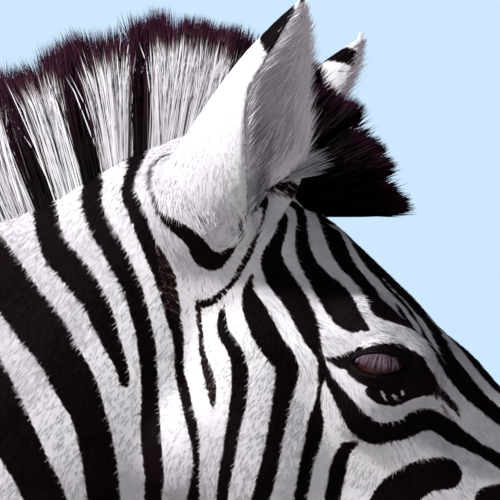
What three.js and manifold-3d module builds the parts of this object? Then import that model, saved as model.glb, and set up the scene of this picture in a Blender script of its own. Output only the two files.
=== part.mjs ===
// A plains zebra at life size, standing square with its neck half raised and its head at rest.
// Millimetres, +Z up. The animal faces +X, and its right side is at -Y.
//
// The body is one soft shape: a blend of muscles and bones, each a ball rolled from one point to another
// while its radius changes. Trunk, neck, thighs and elbows are nets of cells over that shape. Head and legs
// are lofts through rings, which rays from the inside find on it. Thin gaps part the neighbours.
import * as THREE from "three";
import { mergeVertices } from "three/addons/utils/BufferGeometryUtils.js";
import Module from "manifold-3d";

// ---- Driving dimensions ----
const GAP = 0.4; // between neighbouring solids
const TRIM = 0.6; // how far hair and ears stay off the flesh that they grow from
const HEAD_PITCH = 41; // degrees that the forehead slopes down
const POLL = [800, 1562]; // x and z of the top of the head, above the ears
const JAW_DEPTH = 200; // from the forehead line to the line that the rings of the head are spaced along
const EYE = { at: [190, 73, -56], radius: 20.5 }; // in the head's own frame
const JAW_PLANE = { at: [128, -232], normal: [-0.24, 0.97] }; // under the jaw, in the head's frame
const EAR = {
  length: 164, depth: 49, width: 41, wall: 0.1, bow: 12, base: [19, 58, -48],
  lean: [0.45, 0.3, 0.84], // the way it stands
  open: [0.95, 0.3], // the way its cup faces, forward and outward
  roll: [166, 92], // degrees that the leaf goes round to each side, at the base and above
  unrolled: 0.59, // share of the length where the leaf is as open as it gets
  bulb: 0.24, // share of the length that the round base reaches down
  taper: 1.6, // how late the leaf narrows to its tip
  tip: 0.07, // least size of a section
  rim: 0.96, // how near the hollow comes to the edge of the leaf
  hollow: { least: 0.16, full: 0.3 }, // size of the hollow at the base, and where it is full
  stations: [-0.2, -0.1, 0.02, 0.18, 0.34, 0.5, 0.64, 0.77, 0.89, 0.985],
};
const MANE = {
  thickness: 46,
  sunk: 30, // how far its foot lies under the crest
  profile: [[-1, 0.6], [0.3, 0.95], [0.75, 1], [0.96, 0.62]], // shares of its length and of its thickness
};
const FRONT_STEP = { right: -14, left: 34 }; // how far each fore foot stands ahead of square
const HIND_STEP = { right: 26, left: -40 };
const LEG_TOP = 800; // height where the legs start to swing from
const LEG_REACH = 950; // height above which no leg shapes the body
const HOOF_TOP = 74; // height of the coronet at the middle of the hoof
const CORONET_TILT = 20; // degrees
const NECK_ROOT = { at: [516, 0, 1137], lean: 35 }; // plane between trunk and neck
const FOREARM_TOP = { back: 300, inner: [45, 735], slope: 0.8, loft: 704 }; // planes round the elbow
const THIGH = { front: -338, lean: 0.3, inner: [15, 800], slope: 0.78, bottom: 742 }; // planes round it
const RAY = { head: 240, leg: 170 }; // longer than any section's reach from its centre
// Nets: [lowest corner, highest corner, size of a cell]. The legs' boxes are for the left side.
const NETS = {
  trunk: [[-770, -364, 626], [702, 364, 1432], [66, 56, 62]],
  neck: [[400, -255, 960], [880, 255, 1640], [41, 36, 40]],
  thigh: [[-760, -38, 662], [-254, 304, 1112], [46, 38, 45]],
  elbow: [[254, -34, 628], [644, 306, 970], [41, 36, 40]],
};

// ---- Muscles and bones: [end, end, radius, radius, width over height] ----
// Rows with a sideways place stand for a pair, one on each side.
const TORSO = [
  [[205, 0, 985], [-215, 0, 985], 208, 244, 0.97], // ribs
  [[130, 0, 890], [-210, 0, 922], 172, 198, 1.1], // belly
  [[325, 0, 1190], [60, 0, 1118], 70, 88, 0.75], // withers
  [[60, 0, 1108], [-330, 0, 1128], 98, 116, 1.4], // back and loin
  [[330, 0, 950], [500, 0, 965], 184, 122, 0.92], // chest
  [[568, 44, 985], [540, 58, 905], 58, 62, 0.95], // breast
  [[330, 88, 1180], [535, 108, 1000], 62, 66, 0.75], // shoulder
  [[430, 50, 1195], [548, 36, 1030], 66, 66, 0.9], // root of the neck
  [[520, 110, 975], [400, 112, 835], 64, 70, 0.72], // upper foreleg
  [[-330, 0, 1126], [-560, 0, 1080], 130, 104, 1.3], // croup
  [[-360, 108, 1115], [-590, 78, 1050], 92, 76, 0.85], // hip
  [[-505, 112, 1010], [-440, 130, 850], 124, 92, 0.64], // thigh
  [[-600, 72, 1060], [-545, 104, 800], 60, 52, 0.8], // buttock
  [[-330, 120, 930], [-385, 138, 820], 76, 58, 0.6], // stifle
  [[-200, 0, 890], [-420, 0, 930], 142, 102, 1.1], // groin
];
const NECK = [
  [[300, 0, 1212], [455, 0, 1325], 62, 52, 0.72], // crest by the withers
  [[455, 0, 1325], [610, 0, 1453], 52, 46, 0.72], // crest
  [[610, 0, 1453], [768, 0, 1533], 46, 42, 0.8], // crest by the poll
  [[420, 0, 1120], [590, 0, 1300], 150, 118, 0.62], // deep neck
  [[590, 0, 1300], [742, 0, 1466], 118, 82, 0.64], // upper neck
  [[530, 0, 1040], [622, 0, 1190], 106, 78, 0.76], // windpipe side, low
  [[622, 0, 1190], [706, 0, 1374], 78, 56, 0.84], // windpipe side, high
];
// In the head's frame: along the forehead from the poll, sideways, and above the forehead line.
const HEAD = [
  [[26, 0, -66], [150, 0, -70], 60, 58, 1.0], // braincase
  [[90, 0, -52], [215, 0, -59], 42, 42, 1.45], // forehead
  [[215, 0, -59], [330, 0, -54], 42, 36, 1.0], // top of the nose
  [[330, 0, -53], [452, 0, -50], 36, 33, 0.95], // nose bridge
  [[180, 0, -112], [330, 0, -92], 68, 54, 0.95], // upper jaw
  [[330, 0, -92], [462, 0, -74], 54, 47, 0.9], // snout
  [[128, 42, -184], [270, 32, -158], 42, 33, 0.75], // jaw
  [[270, 32, -158], [420, 10, -114], 33, 27, 0.85], // slim jaw
  [[120, 44, -110], [165, 48, -160], 50, 46, 0.62], // cheek muscle
  [[66, 46, -80], [140, 58, -80], 24, 17, 0.9], // temple arch
  [[140, 58, -80], [196, 64, -86], 17, 20, 0.9], // cheekbone
  [[158, 57, -46], [206, 61, -46], 19, 18, 0.9], // brow
  [[205, 62, -86], [300, 48, -94], 20, 15, 0.9], // face crest
  [[470, 20, -60], [494, 20, -63], 40, 36, 0.95], // muzzle
  [[478, 34, -40], [496, 35, -53], 19, 18, 0.9], // nostril wing
  [[498, 12, -84], [505, 8, -88], 24, 21, 1.2], // upper lip
  [[440, 0, -110], [486, 0, -114], 26, 22, 1.3], // chin and lower lip
];
const FORELEG = [
  [[392, 112, 800], [416, 108, 640], 66, 46, 0.72], // upper forearm
  [[416, 108, 640], [430, 104, 505], 46, 33, 0.82], // forearm
  [[431, 104, 478], [434, 103, 432], 35, 33, 0.92], // knee
  [[434, 103, 420], [433, 102, 225], 24, 21, 0.8], // cannon bone
  [[414, 103, 425], [412, 102, 225], 14, 15, 0.85], // tendon
  [[427, 102, 200], [427, 102, 194], 30, 30, 0.85], // fetlock
  [[430, 102, 190], [462, 102, 66], 24, 30, 0.98], // pastern
];
const HINDLEG = [
  [[-410, 132, 800], [-520, 118, 655], 84, 50, 0.58], // upper gaskin
  [[-520, 118, 655], [-612, 110, 555], 50, 35, 0.68], // gaskin
  [[-570, 112, 680], [-656, 108, 580], 24, 16, 0.7], // Achilles tendon
  [[-618, 109, 545], [-616, 108, 486], 38, 33, 0.78], // hock
  [[-650, 108, 578], [-636, 108, 500], 19, 22, 0.8], // point of the hock
  [[-610, 108, 480], [-596, 106, 232], 26, 22, 0.8], // cannon bone
  [[-632, 108, 490], [-616, 106, 232], 17, 15, 0.85], // tendon
  [[-600, 106, 202], [-600, 106, 196], 30, 30, 0.85], // fetlock
  [[-597, 106, 190], [-562, 106, 66], 24, 29, 0.96], // pastern
];
const SOFTNESS = { torso: 22, neck: 17, head: 7, leg: 8, whole: 14, throat: 11 };

// ---- The soft shape ----
// Distance to a ball rolled along a row; the sideways axis is stretched by the row's width over height.
function rolled([a, b, ra, rb, squash], x, y, z) {
  const ay = a[1] / squash;
  const d = [b[0] - a[0], b[1] / squash - ay, b[2] - a[2]];
  const p = [x - a[0], y / squash - ay, z - a[2]];
  const along = (p[0] * d[0] + p[1] * d[1] + p[2] * d[2]) / (d[0] ** 2 + d[1] ** 2 + d[2] ** 2);
  const t = Math.min(1, Math.max(0, along));
  const off = Math.hypot(p[0] - t * d[0], p[1] - t * d[1], p[2] - t * d[2]);
  return off - ra - t * (rb - ra);
}

// A union with rounded valleys: the softness times minus the log of the summed exponentials.
function blend(distances, softness) {
  const least = Math.min(...distances);
  let sum = 0;
  for (const d of distances) sum += Math.exp((least - d) / softness);
  return least - softness * Math.log(sum);
}

// A row off the middle stands for a pair, and both sides are blended.
function rows(table, softness) {
  return (x, y, z) => {
    const distances = [];
    for (const row of table) {
      distances.push(rolled(row, x, y, z));
      if (row[0][1] > 0) distances.push(rolled(row, x, -y, z));
    }
    return blend(distances, softness);
  };
}

// A leg of one side, swung forward by its step more and more from LEG_TOP down.
function leg(table, side, step) {
  return (x, y, z) => {
    const swing = step * Math.max(0, 1 - z / LEG_TOP);
    return blend(table.map((row) => rolled(row, x - swing, y * side, z)), SOFTNESS.leg);
  };
}

const pitch = THREE.MathUtils.degToRad(HEAD_PITCH);
const [cp, sp] = [Math.cos(pitch), Math.sin(pitch)];
// From the head's frame to the body's, and back.
const fromHead = (h, y, v) => new THREE.Vector3(POLL[0] + h * cp + v * sp, y, POLL[1] - h * sp + v * cp);
const toHead = (x, y, z) => {
  const [dx, dz] = [x - POLL[0], z - POLL[1]];
  return [dx * cp - dz * sp, y, dx * sp + dz * cp];
};

const SIDES = { right: -1, left: 1 };
const torso = rows(TORSO, SOFTNESS.torso);
const neck = rows(NECK, SOFTNESS.neck);
const headLocal = rows(HEAD, SOFTNESS.head);
const legs = Object.entries(SIDES).flatMap(([name, side]) => [
  leg(FORELEG, side, FRONT_STEP[name]),
  leg(HINDLEG, side, HIND_STEP[name]),
]);
const body = (x, y, z) => {
  const limbs = z < LEG_REACH ? legs.map((shape) => shape(x, y, z)) : [];
  return blend([torso(x, y, z), neck(x, y, z), ...limbs], SOFTNESS.whole);
};
const headAndNeck = (x, y, z) =>
  blend([headLocal(...toHead(x, y, z)), neck(x, y, z), torso(x, y, z)], SOFTNESS.throat);

// ---- Closed surfaces and solids ----
const wasm = await Module();
wasm.setup();

// A closed geometry as a solid facing out.
function solid(geometry) {
  const plain = geometry.clone();
  plain.deleteAttribute("normal");
  plain.deleteAttribute("uv");
  const merged = mergeVertices(plain, 1e-3);
  const index = new Uint32Array(merged.index.array);
  const build = () =>
    new wasm.Manifold(
      new wasm.Mesh({ numProp: 3, vertProperties: merged.attributes.position.array, triVerts: index }),
    );
  const made = build();
  if (made.volume() > 0) return made;
  for (let i = 0; i < index.length; i += 3) [index[i + 1], index[i + 2]] = [index[i + 2], index[i + 1]];
  return build();
}

// The biggest piece of a solid, without crumbs that a cut left.
const largest = (s) => s.decompose().reduce((a, b) => (b.volume() > a.volume() ? b : a));

function geometryOf(s) {
  const m = s.getMesh();
  const points = new Float32Array(m.numVert * 3);
  for (let i = 0; i < m.numVert; i++)
    points.set(m.vertProperties.subarray(i * m.numProp, i * m.numProp + 3), i * 3);
  const geometry = new THREE.BufferGeometry();
  geometry.setAttribute("position", new THREE.BufferAttribute(points, 3));
  geometry.setIndex(new THREE.BufferAttribute(new Uint32Array(m.triVerts), 1));
  geometry.computeVertexNormals();
  return geometry;
}

// A solid with every corner moved out by TRIM, to cut back what meets it.
function grown(s) {
  const geometry = geometryOf(s);
  const { position, normal } = geometry.attributes;
  for (let i = 0; i < position.count; i++) {
    const at = new THREE.Vector3().fromBufferAttribute(position, i);
    at.addScaledVector(new THREE.Vector3().fromBufferAttribute(normal, i), TRIM);
    position.setXYZ(i, at.x, at.y, at.z);
  }
  return solid(geometry);
}

// All that lies past a plane, as a block far larger than the animal.
function beyond(point, normal) {
  const size = 4000;
  const turn = new THREE.Quaternion().setFromUnitVectors(
    new THREE.Vector3(0, 0, 1),
    new THREE.Vector3(...normal).normalize(),
  );
  const block = new THREE.BoxGeometry(size, size, size).translate(0, 0, size / 2);
  return solid(block.applyQuaternion(turn).translate(...point));
}

// A net over a soft shape in a box of cells: a point in each cell that the surface crosses, slid along
// the slope of the shape onto its surface, and two triangles round each grid edge with one end inside.
function net(shape, [low, high, cell]) {
  const count = [0, 1, 2].map((k) => Math.round((high[k] - low[k]) / cell[k]));
  const span = [count[0] + 1, count[1] + 1, count[2] + 1];
  const at = (i, j, k) => (i * span[1] + j) * span[2] + k;
  const place = (g) => [0, 1, 2].map((k) => low[k] + g[k] * cell[k]);
  const inCell = (g, share) => new THREE.Vector3(...place(g.map((n) => n + share)));
  const inBox = (g) => g.every((n, k) => n > 0 && n < count[k]);
  const value = new Float64Array(span[0] * span[1] * span[2]);
  const each = (limits, visit) => {
    for (let i = 0; i < limits[0]; i++)
      for (let j = 0; j < limits[1]; j++) for (let k = 0; k < limits[2]; k++) visit([i, j, k]);
  };
  each(span, (g) => {
    const d = shape(...place(g));
    value[at(...g)] = inBox(g) ? d : Math.max(d, 1);
  });
  // Corners of a square that are in and out by turns would pinch the net: the nearest one changes side.
  const around = [[0, 1, 2], [1, 2, 0], [2, 0, 1]]; // along, and the two axes across
  for (let pass = 0; pass < 3; pass++)
    each(count, (g) => {
      for (const [, u, v] of around) {
        const square = [[0, 0], [1, 0], [1, 1], [0, 1]].map(([du, dv]) => {
          const c = [...g];
          c[u] += du;
          c[v] += dv;
          return at(...c);
        });
        const inside = square.map((n) => value[n] < 0);
        if (inside[0] !== inside[2] || inside[1] !== inside[3] || inside[0] === inside[1]) continue;
        const nearest = square.reduce((a, b) => (Math.abs(value[b]) < Math.abs(value[a]) ? b : a));
        value[nearest] *= -1;
      }
    });
  const margin = 0.08; // share of a cell that its point stays inside by
  const points = [];
  const pointOf = new Map();
  each(count, (g) => {
    const bits = (n) => [n >> 2, (n >> 1) & 1, n & 1];
    const corners = Array.from({ length: 8 }, (_, n) => bits(n).map((bit, k) => g[k] + bit));
    const sum = new THREE.Vector3();
    let crossings = 0;
    for (let a = 0; a < 8; a++)
      for (const bit of [1, 2, 4]) {
        const b = a | bit;
        const [va, vb] = [value[at(...corners[a])], value[at(...corners[b])]];
        if (b === a || va < 0 === vb < 0) continue;
        const [pa, pb] = [new THREE.Vector3(...place(corners[a])), new THREE.Vector3(...place(corners[b]))];
        sum.add(pa.lerp(pb, va / (va - vb)));
        crossings++;
      }
    if (!crossings) return;
    const point = sum.divideScalar(crossings);
    const edge = [0, 1, 2].some((k) => g[k] === 0 || g[k] === count[k] - 1);
    if (!edge) slide(shape, point).clamp(inCell(g, margin), inCell(g, 1 - margin));
    pointOf.set(at(...g), points.length);
    points.push(point);
  });
  const faces = [];
  each(count, (g) => {
    for (const [k, u, v] of around) {
      const end = [...g];
      end[k]++;
      const [inside, next] = [value[at(...g)] < 0, value[at(...end)] < 0];
      if (inside === next || g[u] === 0 || g[v] === 0) continue;
      const quad = [[0, 0], [1, 0], [1, 1], [0, 1]].map(([du, dv]) => {
        const c = [...g];
        c[u] -= du;
        c[v] -= dv;
        return pointOf.get(at(...c));
      });
      if (!inside) quad.reverse();
      const [a, b, c, d] = quad;
      const acrossFirst = points[a].distanceTo(points[c]) < points[b].distanceTo(points[d]);
      faces.push(...(acrossFirst ? [a, b, c, a, c, d] : [b, c, d, b, d, a]));
    }
  });
  return solid(new THREE.BufferGeometry().setFromPoints(points).setIndex(faces));
}

// Moves a point onto the surface of a shape by a few steps along the shape's slope.
function slide(shape, point) {
  const step = 0.5;
  for (let i = 0; i < 4; i++) {
    const here = shape(point.x, point.y, point.z);
    const slope = new THREE.Vector3(
      shape(point.x + step, point.y, point.z) - here,
      shape(point.x, point.y + step, point.z) - here,
      shape(point.x, point.y, point.z + step) - here,
    ).divideScalar(step);
    point.addScaledVector(slope, -here / Math.max(0.3, slope.lengthSq()));
  }
  return point;
}

// The reach from a centre along a direction to where the shape ends.
function reach(shape, centre, direction, most) {
  let [near, far] = [0, most];
  for (let i = 0; i < 26; i++) {
    const mid = (near + far) / 2;
    const at = [0, 1, 2].map((k) => centre[k] + direction[k] * mid);
    if (shape(...at) < 0) near = mid;
    else far = mid;
  }
  return near;
}

// A ring of count points where the shape ends round a centre, in the plane of Y and a vector up.
function ring(shape, centre, up, count, most) {
  return Array.from({ length: count }, (_, i) => {
    const turn = (2 * Math.PI * (i + 0.5)) / count;
    const direction = [up[0] * Math.cos(turn), Math.sin(turn), up[2] * Math.cos(turn)];
    const r = Math.max(0.5, reach(shape, centre, direction, most));
    return new THREE.Vector3(...[0, 1, 2].map((k) => centre[k] + direction[k] * r));
  });
}

// A closed surface through rings of equal count, with a fan over each end.
function loft(rings) {
  const count = rings[0].length;
  const points = rings.flat();
  const faces = [];
  for (let j = 0; j + 1 < rings.length; j++)
    for (let i = 0; i < count; i++) {
      const [a, b] = [j * count + i, j * count + ((i + 1) % count)];
      faces.push(a, b, b + count, a, b + count, a + count);
    }
  for (const [start, turned] of [[0, true], [(rings.length - 1) * count, false]]) {
    const middle = points.length;
    const centre = new THREE.Vector3();
    for (let i = 0; i < count; i++) centre.addScaledVector(points[start + i], 1 / count);
    points.push(centre);
    for (let i = 0; i < count; i++) {
      const [a, b] = [start + i, start + ((i + 1) % count)];
      faces.push(...(turned ? [middle, b, a] : [middle, a, b]));
    }
  }
  return new THREE.BufferGeometry().setFromPoints(points).setIndex(faces);
}
const between = (a, b, t) => a + (b - a) * t;

const nodes = [];
const add = (name, made, material) => nodes.push([name, made, material]);

// ---- Head: rings across it ----
// Each is [where it crosses the forehead line, where it crosses the line JAW_DEPTH below, centre's depth].
const HEAD_RINGS = [
  [-18, 66, 96], [-2, 76, 98], [16, 86, 98], [34, 96, 98], [54, 108, 98], [76, 122, 98], [98, 136, 98],
  [122, 150, 98], [146, 164, 96], [166, 178, 94], [184, 192, 92], [204, 208, 90], [228, 230, 88],
  [256, 256, 86], [290, 290, 82], [326, 326, 79], [364, 364, 75], [404, 404, 71], [444, 444, 69],
];
const MUZZLE_RINGS = [
  [444 + GAP, 444 + GAP, 69], [464, 464, 68], [482, 482, 68], [498, 498, 69], [509, 509, 71],
  [517, 517, 72], [522, 522, 73],
];
const HEAD_SIDES = 20;
const headRings = (stations) =>
  stations.map(([top, bottom, depth]) => {
    const up = fromHead(top, 0, 0).sub(fromHead(bottom, 0, -JAW_DEPTH)).normalize().toArray();
    const centre = fromHead(between(top, bottom, depth / JAW_DEPTH), 0, -depth).toArray();
    return ring(headAndNeck, centre, up, HEAD_SIDES, RAY.head);
  });
const eyeBall = (side, radius) =>
  new THREE.SphereGeometry(radius, 12, 8)
    .rotateX(Math.PI / 2)
    .translate(...fromHead(EYE.at[0], side * EYE.at[1], EYE.at[2]).toArray());
// The head ends at a plane behind the cheek, and at one just under the jaw.
const [throatTop, throatLow] = HEAD_RINGS[0];
const headEdge = fromHead(throatTop, 0, 0);
const throatUp = headEdge.clone().sub(fromHead(throatLow, 0, -JAW_DEPTH)).normalize();
const ahead = new THREE.Vector3(throatUp.z, 0, -throatUp.x);
const [jawAhead, jawUp] = JAW_PLANE.normal;
const aboveJaw = fromHead(jawAhead, 0, jawUp).sub(fromHead(0, 0, 0));
function headBlock(grow) {
  const back = headEdge.clone().addScaledVector(ahead, -grow);
  const low = fromHead(JAW_PLANE.at[0], 0, JAW_PLANE.at[1]).addScaledVector(aboveJaw, -grow);
  return beyond(back.toArray(), ahead.toArray()).intersect(beyond(low.toArray(), aboveJaw.toArray()));
}
const skull = largest(solid(loft(headRings(HEAD_RINGS))).intersect(headBlock(0)));
const socket = (side) => solid(eyeBall(side, EYE.radius + GAP));
const head = skull.subtract(socket(SIDES.right)).subtract(socket(SIDES.left));
const muzzle = solid(loft(headRings(MUZZLE_RINGS)));

// ---- Neck: a net between the trunk's front plane and the back plane of the head ----
const turnOf = (degrees) => THREE.MathUtils.degToRad(degrees);
const neckWay = [Math.cos(turnOf(NECK_ROOT.lean)), 0, Math.sin(turnOf(NECK_ROOT.lean))];
const neckNet = net(headAndNeck, NETS.neck);
const neckSolid = largest(
  neckNet
    .intersect(beyond(NECK_ROOT.at.map((c, k) => c + neckWay[k] * GAP), neckWay))
    .subtract(headBlock(GAP)),
);

// ---- Trunk, and the blocks round the thighs and elbows that part the legs from it ----
function thighBlock(side, grow) {
  const [inner, height] = THIGH.inner;
  return beyond([THIGH.front + grow, 0, LEG_TOP], [-1, 0, -THIGH.lean])
    .intersect(beyond([0, side * (inner - grow), height], [0, side * THIGH.slope, -1]))
    .intersect(beyond([0, side * (GAP - grow), 0], [0, side, 0]));
}
function elbowBlock(side, grow) {
  const [inner, height] = FOREARM_TOP.inner;
  return beyond([FOREARM_TOP.back - grow, 0, LEG_TOP], [1, 0, 0])
    .intersect(beyond([0, side * (inner - grow), height], [0, side * FOREARM_TOP.slope, -1]))
    .intersect(beyond([0, side * (GAP - grow), 0], [0, side, 0]));
}
const trunkNet = net(body, NETS.trunk);
let trunk = trunkNet.subtract(beyond(NECK_ROOT.at, neckWay));
for (const side of Object.values(SIDES))
  trunk = trunk.subtract(thighBlock(side, GAP)).subtract(elbowBlock(side, GAP));
trunk = largest(trunk);

// ---- Legs: level rings from the top down, tilting to the slope of the hoof's top ----
// Stations are [x, y, z, tilt]; each list in a leg is one piece between two joints.
const FORELEG_RINGS = {
  forearm: [
    [404, 112, 712], [410, 110, 680], [416, 108, 640], [422, 106, 585], [427, 105, 540], [430, 104, 505],
  ],
  cannon: [
    [430, 104, 505], [431, 104, 478], [432, 103, 450], [431, 103, 425], [427, 103, 400], [424, 102, 320],
    [423, 102, 250], [424, 102, 225], [426, 102, 205], [427, 102, 188],
  ],
  pastern: [
    [427, 102, 188], [431, 102, 170, 6], [439, 102, 145, 12], [449, 102, 112, 17], [460, 102, HOOF_TOP, 20],
  ],
};
const HINDLEG_RINGS = {
  gaskin: [
    [-452, 126, THIGH.bottom], [-470, 124, 718], [-492, 121, 690], [-520, 118, 658], [-560, 114, 620],
    [-596, 111, 585],
  ],
  cannon: [
    [-596, 111, 585], [-616, 109, 560], [-622, 109, 535], [-622, 108, 510], [-620, 108, 485],
    [-617, 108, 455], [-612, 107, 400], [-608, 106, 320], [-604, 106, 250], [-602, 106, 225],
    [-600, 106, 205], [-600, 106, 190],
  ],
  pastern: [
    [-600, 106, 190], [-595, 106, 170, 6], [-587, 106, 145, 12], [-577, 106, 112, 17],
    [-564, 106, HOOF_TOP, 20],
  ],
};
const LEG_SIDES = 12;
const swingAt = (step, z) => step * Math.max(0, 1 - z / LEG_TOP);

function legRing([x, y, z, tilt = 0], side, step) {
  const a = turnOf(tilt);
  return ring(body, [x + swingAt(step, z), side * y, z], [Math.cos(a), 0, Math.sin(a)], LEG_SIDES, RAY.leg);
}
const lowered = ([x, y, z, tilt], by) => [x, y, z - by, tilt];
const legPiece = (stations, side, step) =>
  solid(loft(stations.map((s, i) => legRing(i ? s : lowered(s, GAP), side, step))));

// A hoof: rounded sections from a tilted ring at the coronet down and forward to a flat sole.
const HOOF = {
  length: 56, width: 43, topLength: 38, topWidth: 33, forward: 24, bevel: 3, sides: 14,
  square: 2.6, // 2 is an oval, and more is nearer a rectangle
  heel: 0.88, // how far the section reaches back, as a share of forward
};
function hoof(x, y, scale) {
  const levels = [[0, -2], [HOOF.bevel / HOOF_TOP, 0], [0.5, 0], [1, 0]];
  const tilt = Math.tan(turnOf(CORONET_TILT));
  const rings = levels.map(([t, grow]) => {
    const long = (between(HOOF.length, HOOF.topLength, t) + grow) * scale;
    const wide = (between(HOOF.width, HOOF.topWidth, t) + grow) * scale;
    const middle = x + HOOF.forward * (1 - t);
    return Array.from({ length: HOOF.sides }, (_, i) => {
      const turn = (2 * Math.PI * (i + 0.5)) / HOOF.sides;
      const [c, s] = [Math.cos(turn), Math.sin(turn)];
      const square = (Math.abs(c) ** HOOF.square + Math.abs(s) ** HOOF.square) ** (-1 / HOOF.square);
      const forward = c > 0 ? long * c : long * HOOF.heel * c * square;
      const height = (HOOF_TOP - GAP + forward * tilt) * t;
      return new THREE.Vector3(middle + forward, y + wide * s * square, height);
    });
  });
  return solid(loft(rings));
}

for (const [sideName, side] of Object.entries(SIDES)) {
  const onSide = ([low, high, cell]) => {
    const across = [side * low[1], side * high[1]].toSorted((a, b) => a - b);
    return [[low[0], across[0], low[2]], [high[0], across[1], high[2]], cell];
  };
  const elbow = net(body, onSide(NETS.elbow))
    .intersect(elbowBlock(side, 0))
    .intersect(beyond([0, 0, FOREARM_TOP.loft], [0, 0, 1]));
  const thigh = net(body, onSide(NETS.thigh))
    .intersect(thighBlock(side, 0))
    .intersect(beyond([0, 0, THIGH.bottom], [0, 0, 1]));
  add(`hind_${sideName}_thigh`, largest(thigh), "coat");
  const limbs = [
    ["fore", FORELEG_RINGS, FRONT_STEP[sideName], 1],
    ["hind", HINDLEG_RINGS, HIND_STEP[sideName], 0.95],
  ];
  for (const [limb, pieces, step, scale] of limbs) {
    for (const [piece, stations] of Object.entries(pieces)) {
      const made = legPiece(stations, side, step);
      add(`${limb}_${sideName}_${piece}`, piece === "forearm" ? largest(made.add(elbow)) : made, "coat");
    }
    const [x, y] = pieces.pastern.at(-1);
    add(`${limb}_${sideName}_hoof`, hoof(x + swingAt(step, HOOF_TOP), side * y, scale), "horn");
  }
}

// ---- Ears: a leaf rolled into a cup, open forward and out, with an even wall ----
// Along: 0 at the base to 1 at the tip, below 0 in the round bulb. Across: -1 to 1 round the roll.
function earPoint(side, along, across, shrink) {
  const out = Math.max(0, along);
  const leaf = along < 0 ? Math.sqrt(1 - (along / EAR.bulb) ** 2) : Math.cos(turnOf(90) * along ** EAR.taper);
  const roll = turnOf(between(...EAR.roll, Math.min(1, out / EAR.unrolled))) * across;
  const size = Math.max(EAR.tip, leaf) * shrink;
  const up = new THREE.Vector3(EAR.lean[0], side * EAR.lean[1], EAR.lean[2]).normalize();
  const open = new THREE.Vector3(EAR.open[0], side * EAR.open[1], 0);
  open.addScaledVector(up, -open.dot(up)).normalize();
  const edge = new THREE.Vector3().crossVectors(up, open);
  return fromHead(EAR.base[0], side * EAR.base[1], EAR.base[2])
    .addScaledVector(up, along * EAR.length)
    .addScaledVector(open, EAR.bow * Math.sin(Math.PI * out) - EAR.depth * size * Math.cos(roll))
    .addScaledVector(edge, EAR.width * size * Math.sin(roll));
}

function ear(side) {
  const half = 5;
  const { least, full } = EAR.hollow;
  const rings = EAR.stations.map((along) => {
    const hollow = between(least, 1 - EAR.wall, Math.min(1, Math.max(0, along) / full));
    const across = Array.from({ length: half + 1 }, (_, i) => (2 * i) / half - 1);
    return [
      ...across.map((a) => earPoint(side, along, a, 1)),
      ...across.toReversed().map((a) => earPoint(side, along, a * EAR.rim, hollow)),
    ];
  });
  return solid(loft(rings));
}

// ---- Mane: a fin of stiff hair from the withers over the poll, and a forelock that juts forward ----
// Stations: [root x, root z, lean of the hair from upright, its length].
const MANE_ROOTS = [
  [292, 1290, 30, 14], [330, 1308, 30, 48], [380, 1340, 29, 72], [440, 1383, 28, 88], [510, 1435, 27, 96],
  [575, 1485, 26, 100], [614, 1511, 24, 102], [654, 1530, 19, 102], [689, 1548, 10, 96], [720, 1562, 1, 90],
  [746, 1569, -8, 82], [772, 1567, -20, 73],
];
const FORELOCK_ROOTS = [
  [772, 1567, -20, 73], [795, 1559, -35, 65], [813, 1547, -50, 65], [829, 1534, -65, 66],
  [842, 1522, -80, 63], [853, 1511, -93, 54],
];
function fin(stations) {
  const rings = stations.map(([x, z, lean, top]) => {
    const a = turnOf(lean);
    const [dx, dz] = [-Math.sin(a), Math.cos(a)];
    const profile = MANE.profile.map(([share, wide]) => [share < 0 ? -MANE.sunk : share * top, wide]);
    const at = ([h, w], s) => new THREE.Vector3(x + dx * h, (s * w * MANE.thickness) / 2, z + dz * h);
    return [
      ...profile.map((p) => at(p, -1)),
      at([top, 0], 1),
      ...profile.toReversed().map((p) => at(p, 1)),
      at([-MANE.sunk, 0], 1),
    ];
  });
  return solid(loft(rings));
}

// ---- Tail: a tapering dock with a long tuft; stations [x, z, half depth, half width] ----
const DOCK_RINGS = [
  [-620, 1168, 33, 30], [-655, 1150, 27, 26], [-690, 1105, 22, 22], [-710, 1040, 19, 18], [-722, 960, 16, 16],
  [-728, 880, 15, 15], [-731, 800, 16, 15],
];
const TUFT_RINGS = [
  [-731, 800, 17, 16], [-734, 740, 30, 26], [-737, 670, 38, 33], [-739, 600, 40, 34], [-741, 530, 36, 30],
  [-742, 470, 27, 23], [-742, 425, 15, 13], [-742, 404, 5, 5],
];
const TAIL_SIDES = 10;
const tailPiece = (stations) =>
  solid(
    loft(
      stations.map(([x, z, depth, wide], i) => {
        const next = stations[Math.min(i + 1, stations.length - 1)];
        const last = stations[Math.max(i - 1, 0)];
        const a = Math.atan2(next[1] - last[1], next[0] - last[0]) - Math.PI / 2;
        return Array.from({ length: TAIL_SIDES }, (_, k) => {
          const turn = (2 * Math.PI * (k + 0.5)) / TAIL_SIDES;
          const d = depth * Math.cos(turn);
          return new THREE.Vector3(x + d * Math.cos(a), wide * Math.sin(turn), z + d * Math.sin(a));
        });
      }),
    ),
  );

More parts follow.
